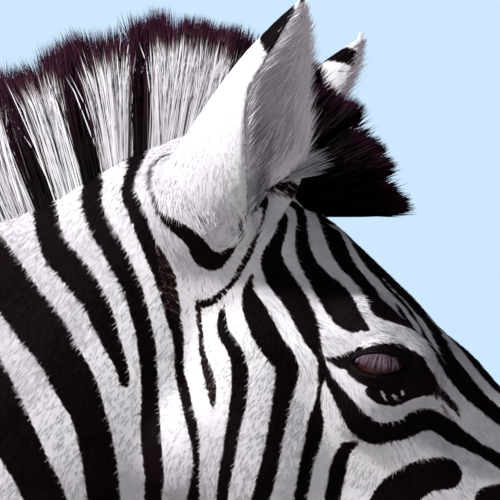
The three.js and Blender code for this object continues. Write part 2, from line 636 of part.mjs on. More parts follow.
// Hair and ears meet the flesh, a gap away.
const flesh = grown(trunkNet).add(grown(neckNet)).add(grown(skull));
const mane = largest(fin(MANE_ROOTS).subtract(flesh));
const lockRoots = FORELOCK_ROOTS.map(([x, ...rest], i) => [i ? x : x + GAP, ...rest]);
const forelock = largest(fin(lockRoots).subtract(flesh));
const hair = grown(mane).add(grown(forelock));
add("trunk", trunk, "coat");
add("neck", neckSolid, "coat");
add("head", head, "coat");
add("muzzle", muzzle, "muzzle");
add("mane", mane, "mane");
add("forelock", forelock, "mane");
for (const [sideName, side] of Object.entries(SIDES)) {
  add(`eye_${sideName}`, solid(eyeBall(side, EYE.radius)), "eye");
  add(`ear_${sideName}`, largest(ear(side).subtract(flesh).subtract(hair)), "coat");
}
add("tail_dock", largest(tailPiece(DOCK_RINGS).subtract(flesh)), "coat");
add("tail_tuft", tailPiece(TUFT_RINGS.map(([x, z, ...rest], i) => [x, i ? z : z - GAP, ...rest])), "mane");

// ---- Materials ----
const FINISHES = {
  coat: { color: 0xd8d2cc, roughness: 0.8 },
  mane: { color: 0x241a20, roughness: 0.7 },
  muzzle: { color: 0x1c181a, roughness: 0.6 },
  horn: { color: 0x2a2624, roughness: 0.55 },
  eye: { color: 0x0c0809, roughness: 0.1 },
};
const materials = Object.fromEntries(
  Object.entries(FINISHES).map(([name, finish]) => [
    name,
    new THREE.MeshStandardMaterial({ name, metalness: 0, ...finish }),
  ]),
);

// ---- The animal, standing on the middle of its own floor box ----
const zebra = new THREE.Group();
const meshes = new THREE.Group();
for (const [name, made, finish] of nodes) {
  const mesh = new THREE.Mesh(geometryOf(made), materials[finish]);
  mesh.name = name;
  meshes.add(mesh);
}
const box = new THREE.Box3().setFromObject(meshes);
meshes.position.set(-(box.min.x + box.max.x) / 2, -(box.min.y + box.max.y) / 2, -box.min.z);
zebra.add(meshes);

export default zebra;
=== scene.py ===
"""A plains zebra at life size: one skin round the frame's solids, with its coat, mane, tail, eyes and hooves.

Everything is in metres in the frame of the solids: the animal faces +X and its right side is at -Y.
Shapes are worked out from the same rows of muscles and bones as the solids, whose tables are in millimetres.
"""

import math

import bpy
import numpy as np
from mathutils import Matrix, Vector
from mathutils.bvhtree import BVHTree


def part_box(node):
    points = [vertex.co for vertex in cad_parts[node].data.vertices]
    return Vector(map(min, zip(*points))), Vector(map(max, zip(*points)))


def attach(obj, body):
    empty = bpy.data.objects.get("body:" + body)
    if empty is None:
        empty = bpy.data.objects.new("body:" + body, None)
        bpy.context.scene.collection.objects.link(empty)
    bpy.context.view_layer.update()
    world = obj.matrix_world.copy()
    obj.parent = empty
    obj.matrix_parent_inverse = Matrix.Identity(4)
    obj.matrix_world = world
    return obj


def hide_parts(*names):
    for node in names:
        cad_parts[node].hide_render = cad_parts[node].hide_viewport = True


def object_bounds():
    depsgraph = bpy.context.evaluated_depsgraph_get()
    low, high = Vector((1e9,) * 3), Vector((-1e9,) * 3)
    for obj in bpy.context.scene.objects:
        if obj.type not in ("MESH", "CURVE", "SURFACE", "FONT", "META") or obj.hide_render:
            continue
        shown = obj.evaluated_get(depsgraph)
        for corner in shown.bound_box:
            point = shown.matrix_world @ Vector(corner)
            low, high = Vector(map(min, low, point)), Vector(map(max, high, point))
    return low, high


bl_info = {
    "name": "Zebra",
    "version": (1, 0, 0),
    "blender": (4, 5, 0),
    "location": "View3D > Sidebar > Zebra",
    "description": "Builds the skin, coat, mane, eyes and hooves of a standing zebra round its solids",
    "category": "Mesh",
}

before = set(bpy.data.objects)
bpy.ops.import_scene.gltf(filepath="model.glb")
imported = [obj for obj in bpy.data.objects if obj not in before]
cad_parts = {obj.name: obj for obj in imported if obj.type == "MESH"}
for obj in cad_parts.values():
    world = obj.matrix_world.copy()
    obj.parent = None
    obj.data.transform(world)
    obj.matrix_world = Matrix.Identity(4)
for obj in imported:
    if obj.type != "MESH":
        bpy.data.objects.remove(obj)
CAD_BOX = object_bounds()
MM = 0.001

# ---- The frame of the head and the place of the animal ----
HEAD_PITCH = math.radians(41)
POLL = np.array([800, 0, 1562]) * MM
EYE_IN_HEAD = np.array([190, 73, -56]) * MM
EYE_RADIUS = 20.5 * MM
EYE_BOX = [np.array(corner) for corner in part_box("eye_right")]
EYE_RIGHT = (EYE_BOX[0] + EYE_BOX[1]) / 2
COS_PITCH, SIN_PITCH = math.cos(HEAD_PITCH), math.sin(HEAD_PITCH)


def unshifted_from_head(p):
    """Points of the head's frame, turned down by the pitch round the poll."""
    h, y, v = p[..., 0], p[..., 1], p[..., 2]
    x = POLL[0] + h * COS_PITCH + v * SIN_PITCH
    z = POLL[2] - h * SIN_PITCH + v * COS_PITCH
    return np.stack([x, y, z], -1)


SHIFT = EYE_RIGHT - unshifted_from_head(EYE_IN_HEAD * [1, -1, 1])
SHIFT[1] = 0


def from_head(p):
    """Points of the head's frame in the frame of the solids."""
    return unshifted_from_head(np.asarray(p, float)) + SHIFT


def to_head(p):
    """The head's own coordinates of points: along the forehead, sideways, above the forehead line."""
    x, z = p[..., 0] - SHIFT[0] - POLL[0], p[..., 2] - SHIFT[2] - POLL[2]
    return np.stack([x * COS_PITCH - z * SIN_PITCH, p[..., 1], x * SIN_PITCH + z * COS_PITCH], -1)


def head_way(h, y, v):
    """A direction of the head's frame, of length one, in the frame of the solids."""
    way = np.array([h * COS_PITCH + v * SIN_PITCH, y, -h * SIN_PITCH + v * COS_PITCH])
    return way / np.linalg.norm(way)


# ---- The view ----
VIEW_AZIMUTH, VIEW_ELEVATION = math.radians(12), math.radians(-6)
VIEW_DISTANCE = 6.0
POINT_SIZE = 0.7 * MM  # what one of the frame's 500 points covers at the eye
EYE_POINT = (383, 365)
FRAME_POINTS = 500
BACK = np.array([
    math.sin(VIEW_AZIMUTH) * math.cos(VIEW_ELEVATION),
    -math.cos(VIEW_AZIMUTH) * math.cos(VIEW_ELEVATION),
    math.sin(VIEW_ELEVATION),
])
RIGHT = np.array([math.cos(VIEW_AZIMUTH), math.sin(VIEW_AZIMUTH), 0])
UP = np.cross(BACK, RIGHT)


def in_view(u, v):
    """Where a point of the 500 x 500 frame lies on the plane through the right eye, square to the view."""
    u, v = np.asarray(u, float)[..., None], np.asarray(v, float)[..., None]
    return EYE_RIGHT + RIGHT * (u - EYE_POINT[0]) * POINT_SIZE + UP * (EYE_POINT[1] - v) * POINT_SIZE


LENS_CENTRE = in_view(FRAME_POINTS / 2, FRAME_POINTS / 2)
CAMERA_PLACE = LENS_CENTRE + BACK * VIEW_DISTANCE

# ---- Muscles and bones: end, end, radius, radius, width over height. Off the middle, a row is a pair ----
TORSO = [
    (205, 0, 985, -215, 0, 985, 208, 244, 0.97),  # ribs
    (130, 0, 890, -210, 0, 922, 172, 198, 1.1),  # belly
    (325, 0, 1190, 60, 0, 1118, 70, 88, 0.75),  # withers
    (60, 0, 1108, -330, 0, 1128, 98, 116, 1.4),  # back and loin
    (330, 0, 950, 500, 0, 965, 184, 122, 0.92),  # chest
    (568, 44, 985, 540, 58, 905, 58, 62, 0.95),  # breast
    (330, 88, 1180, 535, 108, 1000, 62, 66, 0.75),  # shoulder
    (430, 50, 1195, 548, 36, 1030, 66, 66, 0.9),  # root of the neck
    (520, 110, 975, 400, 112, 835, 64, 70, 0.72),  # upper foreleg
    (-330, 0, 1126, -560, 0, 1080, 130, 104, 1.3),  # croup
    (-360, 108, 1115, -590, 78, 1050, 92, 76, 0.85),  # hip
    (-505, 112, 1010, -440, 130, 850, 124, 92, 0.64),  # thigh
    (-600, 72, 1060, -545, 104, 800, 60, 52, 0.8),  # buttock
    (-330, 120, 930, -385, 138, 820, 76, 58, 0.6),  # stifle
    (-200, 0, 890, -420, 0, 930, 142, 102, 1.1),  # groin
]
NECK = [
    (300, 0, 1212, 455, 0, 1325, 62, 52, 0.72),  # crest by the withers
    (455, 0, 1325, 610, 0, 1453, 52, 46, 0.72),  # crest
    (610, 0, 1453, 768, 0, 1533, 46, 42, 0.8),  # crest by the poll
    (420, 0, 1120, 590, 0, 1300, 150, 118, 0.62),  # deep neck
    (590, 0, 1300, 742, 0, 1466, 118, 82, 0.64),  # upper neck
    (530, 0, 1040, 622, 0, 1190, 106, 78, 0.76),  # windpipe side, low
    (622, 0, 1190, 706, 0, 1374, 78, 56, 0.84),  # windpipe side, high
]
HEAD = [
    (26, 0, -66, 150, 0, -70, 60, 58, 1.0),  # braincase
    (90, 0, -52, 215, 0, -59, 42, 42, 1.45),  # forehead
    (215, 0, -59, 330, 0, -54, 42, 36, 1.0),  # top of the nose
    (330, 0, -53, 452, 0, -50, 36, 33, 0.95),  # nose bridge
    (180, 0, -112, 330, 0, -92, 68, 54, 0.95),  # upper jaw
    (330, 0, -92, 462, 0, -74, 54, 47, 0.9),  # snout
    (128, 42, -184, 270, 32, -158, 42, 33, 0.75),  # jaw
    (270, 32, -158, 420, 10, -114, 33, 27, 0.85),  # slim jaw
    (120, 44, -110, 165, 48, -160, 50, 46, 0.62),  # cheek muscle
    (66, 46, -80, 140, 58, -80, 24, 17, 0.9),  # temple arch
    (140, 58, -80, 196, 64, -86, 17, 20, 0.9),  # cheekbone
    (158, 57, -46, 206, 61, -46, 19, 18, 0.9),  # brow
    (205, 62, -86, 300, 48, -94, 20, 15, 0.9),  # face crest
    (470, 20, -60, 494, 20, -63, 40, 36, 0.95),  # muzzle
    (478, 34, -40, 496, 35, -53, 19, 18, 0.9),  # nostril wing
    (498, 12, -84, 505, 8, -88, 24, 21, 1.2),  # upper lip
    (440, 0, -110, 486, 0, -114, 26, 22, 1.3),  # chin and lower lip
]
FORELEG = [
    (392, 112, 800, 416, 108, 640, 66, 46, 0.72),  # upper forearm
    (416, 108, 640, 430, 104, 505, 46, 33, 0.82),  # forearm
    (431, 104, 478, 434, 103, 432, 35, 33, 0.92),  # knee
    (434, 103, 420, 433, 102, 225, 24, 21, 0.8),  # cannon bone
    (414, 103, 425, 412, 102, 225, 14, 15, 0.85),  # tendon
    (427, 102, 200, 427, 102, 194, 30, 30, 0.85),  # fetlock
    (430, 102, 190, 462, 102, 66, 24, 30, 0.98),  # pastern
]
HINDLEG = [
    (-410, 132, 800, -520, 118, 655, 84, 50, 0.58),  # upper gaskin
    (-520, 118, 655, -612, 110, 555, 50, 35, 0.68),  # gaskin
    (-570, 112, 680, -656, 108, 580, 24, 16, 0.7),  # Achilles tendon
    (-618, 109, 545, -616, 108, 486, 38, 33, 0.78),  # hock
    (-650, 108, 578, -636, 108, 500, 19, 22, 0.8),  # point of the hock
    (-610, 108, 480, -596, 106, 232, 26, 22, 0.8),  # cannon bone
    (-632, 108, 490, -616, 106, 232, 17, 15, 0.85),  # tendon
    (-600, 106, 202, -600, 106, 196, 30, 30, 0.85),  # fetlock
    (-597, 106, 190, -562, 106, 66, 24, 29, 0.96),  # pastern
]
# The dock: stations of x, z, half depth, half width.
DOCK = [(-620, 1168, 33, 30), (-655, 1150, 27, 26), (-690, 1105, 22, 22), (-710, 1040, 19, 18),
        (-722, 960, 16, 16), (-728, 880, 15, 15), (-731, 800, 14, 14)]
SOFTNESS = {"torso": 22, "neck": 17, "head": 7, "leg": 8, "whole": 14, "throat": 11}
FRONT_STEP = {-1: -14, 1: 34}  # how far each leg stands ahead of square, by its side of the animal
HIND_STEP = {-1: 26, 1: -40}
LEG_TOP = 800
LEG_REACH = 950
EAR = {
    "length": 164, "depth": 49, "width": 41, "wall": 0.1, "bow": 12, "base": (19, 58, -48),
    "lean": (0.45, 0.3, 0.84), "open": (0.95, 0.3), "roll": (166, 92), "unrolled": 0.59,
    "bulb": 0.24, "taper": 1.6, "tip": 0.07, "rim": 0.96, "foot": -0.03, "foot_radius": 41,
    "twist": {-1: 15, 1: 0},  # degrees that each ear's opening turns outward
}
# Roots of the standing hair: x, z, lean from upright in degrees, length.
MANE_ROOTS = [
    (292, 1290, 30, 14), (330, 1308, 30, 48), (380, 1340, 29, 72), (440, 1383, 28, 88), (510, 1435, 27, 96),
    (575, 1485, 26, 98), (614, 1511, 24, 98), (654, 1530, 19, 95), (689, 1548, 10, 91), (720, 1562, 1, 90),
    (746, 1569, -8, 84), (772, 1567, -20, 78),
]
FORELOCK_ROOTS = [
    (772, 1567, -20, 78), (795, 1559, -35, 76), (813, 1547, -47, 71), (829, 1534, -60, 65),
    (842, 1522, -74, 60), (853, 1511, -89, 60),
]
TUFT_RINGS = [
    (-731, 800, 17, 16), (-734, 740, 30, 26), (-737, 670, 38, 33), (-739, 600, 40, 34), (-741, 530, 36, 30),
    (-742, 470, 27, 23), (-742, 425, 15, 13), (-742, 404, 5, 5),
]


# ---- The soft shape ----
def rolled(row, p):
    """Distance to a ball rolled from one end of a row to the other as its radius changes; the sideways axis
    is stretched by the row's width over height."""
    a, b = np.array(row[0:3]) * MM, np.array(row[3:6]) * MM
    ra, rb, squash = row[6] * MM, row[7] * MM, row[8]
    stretch = np.array([1, 1 / squash, 1], np.float32)
    way = ((b - a) * stretch).astype(np.float32)
    q = p * stretch - (a * stretch).astype(np.float32)
    t = np.clip(q @ way / float(way @ way), 0, 1)
    return np.linalg.norm(q - t[:, None] * way, axis=1) - ra - t * (rb - ra)


def blend(distances, softness):
    """A union with rounded valleys: minus the softness times the log of the summed exponentials."""
    d = np.stack(distances)
    least = d.min(0)
    return least - softness * np.log(np.exp((least - d) / softness).sum(0))


def rows(table, softness, p):
    """The blend of a table's rows, those off the middle on both sides."""
    mirrored = p * np.array([1, -1, 1], np.float32)
    distances = []
    for row in table:
        distances.append(rolled(row, p))
        if row[1] > 0:
            distances.append(rolled(row, mirrored))
    return blend(distances, softness * MM)


def leg(table, side, step, p):
    """A leg of one side, swung forward by its step more and more from the top down."""
    q = p.copy()
    q[:, 0] -= step * MM * np.maximum(0, 1 - p[:, 2] / (LEG_TOP * MM))
    q[:, 1] *= side
    return blend([rolled(row, q) for row in table], SOFTNESS["leg"] * MM)


def where(mask, p, shape, far):
    """A shape's distances where a mask holds, and a far value elsewhere."""
    d = np.full(len(p), far, np.float32)
    if mask.any():
        d[mask] = shape(p[mask])
    return d


def dock(p):
    """Distance to the dock: balls along its stations, oval by their half depth and half width."""
    table = [(x0, 0, z0, x1, 0, z1, d0, d1, (w0 + w1) / (d0 + d1))
             for (x0, z0, d0, w0), (x1, z1, d1, w1) in zip(DOCK, DOCK[1:])]
    return blend([rolled(row, p) for row in table], SOFTNESS["leg"] * MM)


def whole(points):
    """The soft shape of the whole animal without its ears, as a distance in metres, below zero inside."""
    p = (np.asarray(points) - SHIFT).astype(np.float32)
    x, z = p[:, 0], p[:, 2]
    far = 0.3
    parts = [
        where((x < 0.75) & (z > 0.55), p, lambda q: rows(TORSO, SOFTNESS["torso"], q), far),
        where((x > 0.1) & (z > 0.85), p, lambda q: rows(NECK, SOFTNESS["neck"], q), far),
    ]
    low = z < LEG_REACH * MM
    for side in (-1, 1):
        fore, hind = low & (x > 0), low & (x < 0)
        parts.append(where(fore, p, lambda q, s=side: leg(FORELEG, s, FRONT_STEP[s], q), far))
        parts.append(where(hind, p, lambda q, s=side: leg(HINDLEG, s, HIND_STEP[s], q), far))
    parts.append(where((x < -0.5) & (z > 0.7), p, dock, far))
    body = blend(parts, SOFTNESS["whole"] * MM)
    head = where(
        (x > 0.55) & (z > 0.98), p,
        lambda q: rows(HEAD, SOFTNESS["head"], to_head(q + SHIFT.astype(np.float32))), far,
    )
    return blend([body, head], SOFTNESS["throat"] * MM)


def slope(field, p, d=0.0008):
    """The gradient of a field by differences along the three axes."""
    return np.stack([(field(p + d * axis) - field(p - d * axis)) / (2 * d) for axis in np.eye(3)], -1)


def unit(v):
    """Vectors divided by their lengths."""
    return v / np.maximum(np.linalg.norm(v, axis=-1, keepdims=True), 1e-9)


# ---- Nets over a field ----
def net(field, low, high, cell):
    """A net over a field: one point in each cell that the surface crosses, at the mean of the crossings on
    its edges, and two triangles round each grid edge with one end inside."""
    count = [int(round((high[k] - low[k]) / cell)) + 1 for k in range(3)]
    axes = [low[k] + cell * np.arange(count[k]) for k in range(3)]
    grid = np.stack(np.meshgrid(*axes, indexing="ij"), -1)
    value = np.concatenate([field(slab.reshape(-1, 3)) for slab in grid]).reshape(count)
    inside = value < 0
    cells = [n - 1 for n in count]
    total, hits = np.zeros((*cells, 3)), np.zeros(cells)

    def shifted(array, offset):
        return array[tuple(slice(o, o + c) for o, c in zip(offset, cells))]

    for k in range(3):
        u, v = [a for a in range(3) if a != k]
        for du in (0, 1):
            for dv in (0, 1):
                start = [0, 0, 0]
                start[u], start[v] = du, dv
                end = list(start)
                end[k] = 1
                a, b = shifted(value, start), shifted(value, end)
                crossed = (a < 0) != (b < 0)
                share = np.where(crossed, a / np.where(crossed, a - b, 1), 0)
                offset = np.zeros((*cells, 3)) + start
                offset[..., k] += share
                total += offset * crossed[..., None]
                hits += crossed
    used = hits > 0
    number = np.full(cells, -1)
    number[used] = np.arange(used.sum())
    corner = np.stack(np.nonzero(used), -1)
    points = low + cell * (corner + total[used] / hits[used][:, None])
    faces = []
    for k in range(3):
        u, v = (k + 1) % 3, (k + 2) % 3
        first = inside[tuple(slice(0, n - 1) if a == k else slice(1, n - 1) for a, n in enumerate(count))]
        after = inside[tuple(slice(1, n) if a == k else slice(1, n - 1) for a, n in enumerate(count))]
        at = np.stack(np.nonzero(first != after), -1)
        at[:, u] += 1
        at[:, v] += 1
        quad = []
        for du, dv in ((0, 0), (1, 0), (1, 1), (0, 1)):
            c = at.copy()
            c[:, u] -= du
            c[:, v] -= dv
            quad.append(number[c[:, 0], c[:, 1], c[:, 2]])
        quad = np.stack(quad, -1)
        flip = ~inside[at[:, 0], at[:, 1], at[:, 2]]
        quad[flip] = quad[flip][:, ::-1]
        faces += [quad[:, [0, 1, 2]], quad[:, [0, 2, 3]]]
    return points, np.concatenate(faces)


def refined(points, faces, size):
    """Splits every edge longer than the size asked for at its middle, until none is left. A triangle with
    one, two or three split edges becomes two, three or four."""
    for _ in range(6):
        edges = np.sort(faces[:, [[0, 1], [1, 2], [2, 0]]].reshape(-1, 2), axis=1)
        key = edges[:, 0].astype(np.int64) * len(points) + edges[:, 1]
        unique, first, back = np.unique(key, return_index=True, return_inverse=True)
        pair = edges[first]
        middle = points[pair].mean(1)
        long = np.linalg.norm(points[pair[:, 0]] - points[pair[:, 1]], axis=1) > size(middle)
        if not long.any():
            break
        new = np.full(len(unique), -1)
        new[long] = len(points) + np.arange(long.sum())
        points = np.concatenate([points, middle[long]])
        mid = new[back].reshape(-1, 3)
        cut = mid >= 0
        count = cut.sum(1)
        result = [faces[count == 0]]
        for n in (1, 2, 3):
            f, m, c = faces[count == n], mid[count == n], cut[count == n]
            if not len(f):
                continue
            # Turn each triangle so that its first edge is cut, or for two cuts so that its last is whole.
            lead = np.argmax(c, 1) if n != 2 else (np.argmin(c, 1) + 1) % 3
            turn = (lead[:, None] + np.arange(3)) % 3
            f, m = np.take_along_axis(f, turn, 1), np.take_along_axis(m, turn, 1)
            (a, b, d), (ab, bd, da) = f.T, m.T
            if n == 1:
                parts = [(a, ab, d), (ab, b, d)]
            elif n == 2:
                parts = [(ab, b, bd), (a, ab, bd), (a, bd, d)]
            else:
                parts = [(a, ab, da), (ab, b, bd), (da, bd, d), (ab, bd, da)]
            result += [np.stack(part, -1) for part in parts]
        faces = np.concatenate(result)
    return points, faces


def relaxed(points, faces, field, rounds, pull=0.5):
    """Moves points towards the mean of their neighbours and back onto the field by steps along its slope."""
    a = np.concatenate([faces[:, 0], faces[:, 1], faces[:, 2]])
    b = np.concatenate([faces[:, 1], faces[:, 2], faces[:, 0]])
    count = np.bincount(a, minlength=len(points)) + np.bincount(b, minlength=len(points))
    total = len(points)
    for _ in range(rounds):
        mean = np.zeros_like(points)
        for k in range(3):
            mean[:, k] += np.bincount(a, points[b, k], total) + np.bincount(b, points[a, k], total)
        points = points + pull * (mean / np.maximum(count, 1)[:, None] - points)
        points = dropped(points, field, 1)
    return dropped(points, field, 2)


def dropped(points, field, rounds):
    """Points slid along the slope of a field onto its surface."""
    for _ in range(rounds):
        g = slope(field, points)
        step = field(points) / np.maximum((g * g).sum(1), 0.1)
        points = points - np.clip(step, -0.01, 0.01)[:, None] * g
    return points


def normals_of(points, faces):
    """Area-weighted normals at the points."""
    cross = np.cross(points[faces[:, 1]] - points[faces[:, 0]], points[faces[:, 2]] - points[faces[:, 0]])
    total = np.zeros_like(points)
    for corner in range(3):
        for k in range(3):
            total[:, k] += np.bincount(faces[:, corner], cross[:, k], len(points))
    return unit(total)


def smooth_step(low, high, x):
    """A share that goes from 0 at low to 1 at high, with 3t^2 - 2t^3 between."""
    t = np.clip((x - low) / (high - low), 0, 1)
    return t * t * (3 - 2 * t)


# ---- Skin ----
# How deep the skin lies in the coat on trunk and neck, and how much less elsewhere, in millimetres.
COAT_DEPTH = {"body": 4.5, "face": 2.3, "nose": 0.9, "leg": 2.2, "foot": 2.0}
# The length of the skin's edges in millimetres: on the trunk, how much less on neck and legs, and elsewhere.
EDGES = {"trunk": 22, "less": 11, "head": 5.4, "muzzle": 4.0, "eye": 1.05, "nostril": 2.4}
# How far the fine edges round an eye and a nostril reach in metres, and how fast they grow past that.
FINE_REACH = {"eye": (0.024, 150), "nostril": (0.022, 200)}
# Lines of the face that its forms follow, in the head's frame in millimetres, for the left side.
NOSTRIL_LINE = ((470, 36, -36), (486, 38, -40), (497, 36, -52), (498, 32, -64))
MOUTH_LINE = ((420, 26, -97), (470, 24, -101), (512, 6, -106), (514, -6, -106))
LIP_LINE = ((430, 28, -90), (500, 20, -94))
ORBIT_LINE = ((182, 78, -50), (194, 78, -52))
# How far each form stands out in millimetres: the nostril's slit and rim, the mouth, the lip and the orbit.
FORM_HEIGHTS = {"slit": -13, "rim": 2.6, "mouth": -5.0, "lip": 0.8, "orbit": 8.0}
NO_MARK = -0.05  # the mark's value far from any black hair, in metres


def coat_depth(p):
    """How deep the skin lies in the coat: less over face and nose, and down the legs."""
    head = to_head(p) / MM
    face = smooth_step(0, 120, head[:, 0]) * smooth_step(0.25, 0.42, p[:, 0])
    nose = smooth_step(380, 450, head[:, 0]) * face
    low = 1 - smooth_step(0.35, 0.75, p[:, 2])
    foot = 1 - smooth_step(0.07, 0.13, p[:, 2])
    shares = {"face": face, "nose": nose, "leg": low, "foot": foot}
    return (COAT_DEPTH["body"] - sum(COAT_DEPTH[part] * share for part, share in shares.items())) * MM


def ear_mounds(p):
    """Distance to the round foot of each ear."""
    feet = [ear_point(side, np.array(EAR["foot"]), np.array(0.0), 0.0) for side in (-1, 1)]
    return np.minimum(*(np.linalg.norm(p - foot, axis=1) for foot in feet)) - EAR["foot_radius"] * MM


def skin_field(p):
    """Distance to the skin: the solids' surface moved in by the coat's depth, blended with the ears' feet."""
    p = np.asarray(p)
    body = whole(p) + coat_depth(p)
    return np.where(p[:, 2] > 1.3, blend([body, ear_mounds(p)], 12 * MM), body)


EYES = {side: EYE_RIGHT * [1, -side, 1] for side in (-1, 1)}
SIDE_NAMES = {-1: "right", 1: "left"}
# At each eye: out of the head, along the slit to its front corner, and up across it.
EYE_OUT = np.array([0.20, -0.97, -0.11])
SLIT_WAY = head_way(0.81, -0.06, 0.586)


def eye_axes(side):
    """The ways out of an eye, along its slit and up across it, square to each other."""
    out = unit(EYE_OUT * [1, -side, 1])
    along = SLIT_WAY * [1, -side, 1]
    along = unit(along - along @ out * out)
    up = np.cross(out, along)
    return out, along, up * np.sign(up[2])


def size_near(p):
    """The length of edges asked for: from that of the trunk down to those at the nostrils and eyes."""
    head = to_head(p) / MM
    on_head = smooth_step(-60, 20, head[:, 0]) * (p[:, 2] > 1.0) * (p[:, 0] > 0.35)
    on_neck = smooth_step(0.2, 0.4, p[:, 0]) * smooth_step(1.1, 1.2, p[:, 2])
    size = EDGES["trunk"] - EDGES["less"] * (p[:, 2] < 0.62) - EDGES["less"] * on_neck
    size = np.where(on_head > 0.5, EDGES["head"], size)
    size = np.where((on_head > 0.5) & (head[:, 0] > 425), EDGES["muzzle"], size)
    for side in (-1, 1):
        nostril = from_head(np.array([488, side * 36, -52]) * MM)
        for name, centre in (("eye", EYES[side]), ("nostril", nostril)):
            reach, growth = FINE_REACH[name]
            past = np.maximum(0, np.linalg.norm(p - centre, axis=1) - reach)
            size = np.minimum(size, EDGES[name] + past * growth)
    return size * MM


def bump_along(p, a, b, width):
    """A ridge of height one along the line from a to b: a Gaussian of the distance to it."""
    way = b - a
    t = np.clip((p - a) @ way / (way @ way), 0, 1)
    d = np.linalg.norm(p - a - t[:, None] * way, axis=1)
    return np.exp(-((d / width) ** 2))


def ridge(p, line, widths):
    """The highest of the bumps along a line's stretches, each with its own width."""
    corners = np.array(line, float)
    return np.max([bump_along(p, *stretch) for stretch in zip(corners, corners[1:], widths)], axis=0)


def face_forms(p):
    """How far the face stands out at points: nostrils, mouth, lip and orbit, in metres."""
    q = to_head(p) / MM
    q[:, 1] = np.abs(q[:, 1])
    forms = {
        "slit": ridge(q, NOSTRIL_LINE, (5, 5, 5)), "rim": ridge(q, NOSTRIL_LINE, (12, 12, 12)),
        "mouth": ridge(q, MOUTH_LINE, (2.6, 2.8, 2.8)), "lip": ridge(q, LIP_LINE, (9,)),
        "orbit": ridge(q, ORBIT_LINE, (36,)),
    }
    return sum(FORM_HEIGHTS[name] * form for name, form in forms.items()) * MM


# The slit between the lids: half its length, its height above and below, and its middle, in radians.
LID = {"half": 1.06, "top": 0.36, "low": 0.34, "middle": -0.2}
# The skin over the eyeball in millimetres: near the slit, how much more at its rolled edges, and farther off;
# how deep the skin falls behind the ball inside the slit, and the softness of the lids' outer bend.
LID_SKIN = {"near": 2.2, "edge": 1.3, "far": 1.6, "behind": 3.5, "bend": 3.5}
# Creases: how far past the lids' edges in radians, how deep in millimetres, and how wide in radians.
UPPER_CREASE = (0.34, 1.5, 0.05)
LOWER_CREASES = ((0.26, 1.0, 0.04), (0.46, 0.9, 0.04), (0.66, 0.7, 0.04))


def slit_depth(a, b):
    """How deep directions lie inside the slit between the lids, a lens between two arcs, in radians."""
    across = a / LID["half"]
    open_part = np.clip(1 - across**2, 0, None)
    depth = np.minimum(LID["top"] * open_part - b, b + LID["low"] * open_part)
    outside = -np.abs(b) - (np.abs(across) - 1) * LID["half"] * 0.7
    return np.where(np.abs(across) > 1, outside, depth)


def eye_angles(p, side):
    """The distance of points from an eye's centre, their direction, and its angles along and across."""
    out, along, up = eye_axes(side)
    d = p - EYES[side]
    far = np.linalg.norm(d, axis=1)
    ray = d / np.maximum(far, 1e-6)[:, None]
    return far, ray, np.arctan2(ray @ along, ray @ out) - LID["middle"], np.arcsin(np.clip(ray @ up, -1, 1))


def lids(p, side):
    """Sets the lids round an eye: outside the slit the skin goes round the ball, inside the slit it falls
    behind the ball. The slit is a lens between two arcs; its edges roll outwards. Creases follow the slit,
    and fade away from the eye."""
    out = eye_axes(side)[0]
    far, ray, a, b = eye_angles(p, side)
    across = a / LID["half"]
    open_part = np.clip(1 - across**2, 0, None)
    inside = slit_depth(a, b)
    edge = np.exp(-((inside + 0.05) / 0.055) ** 2)
    lid = EYE_RADIUS + (LID_SKIN["near"] + LID_SKIN["edge"] * edge) * MM
    arc = np.maximum(open_part, 0.12)
    past, depth, width = UPPER_CREASE
    crease = -depth * np.exp(-((b - LID["top"] * arc - past) / width) ** 2)
    for past, depth, width in LOWER_CREASES:
        crease -= depth * np.exp(-((b + LID["low"] * arc + past) / width) ** 2)
    melt = smooth_step(0.7, 1.3, np.hypot(a * 0.8, b))
    outer = EYE_RADIUS + LID_SKIN["far"] * MM
    lid = outer + (lid - outer + crease * MM * smooth_step(1.25, 0.8, np.abs(across))) * (1 - melt)
    bend = LID_SKIN["bend"] * MM
    gap = (far - lid) / bend
    eased = lid + bend * np.log1p(np.exp(np.clip(gap, -6, 6)))
    target = np.where(np.abs(gap) < 6, eased, np.maximum(far, lid))
    target = target - 0.69 * bend * np.exp(-gap**2)
    target = np.where(inside > 0, EYE_RADIUS - LID_SKIN["behind"] * MM * smooth_step(0, 0.06, inside), target)
    before = (ray @ out > 0.15) & (far < EYE_RADIUS + 0.02)
    return np.where(before[:, None], EYES[side] + ray * target[:, None], p)


def ear_leaf(side, along, across, shrink):
    """Points of an ear's leaf, the way to its tip and the way out of it there, by small steps."""
    step = 1e-3
    p = ear_point(side, along, across, shrink)
    up = unit(ear_point(side, along + step, across, shrink) - p)
    turn = unit(ear_point(side, along, across + step, shrink) - p)
    out = unit(np.cross(turn, up))
    outer = ear_point(side, along, across, shrink * 1.02) - p
    return p, up, out * np.sign((out * outer).sum(-1, keepdims=True))


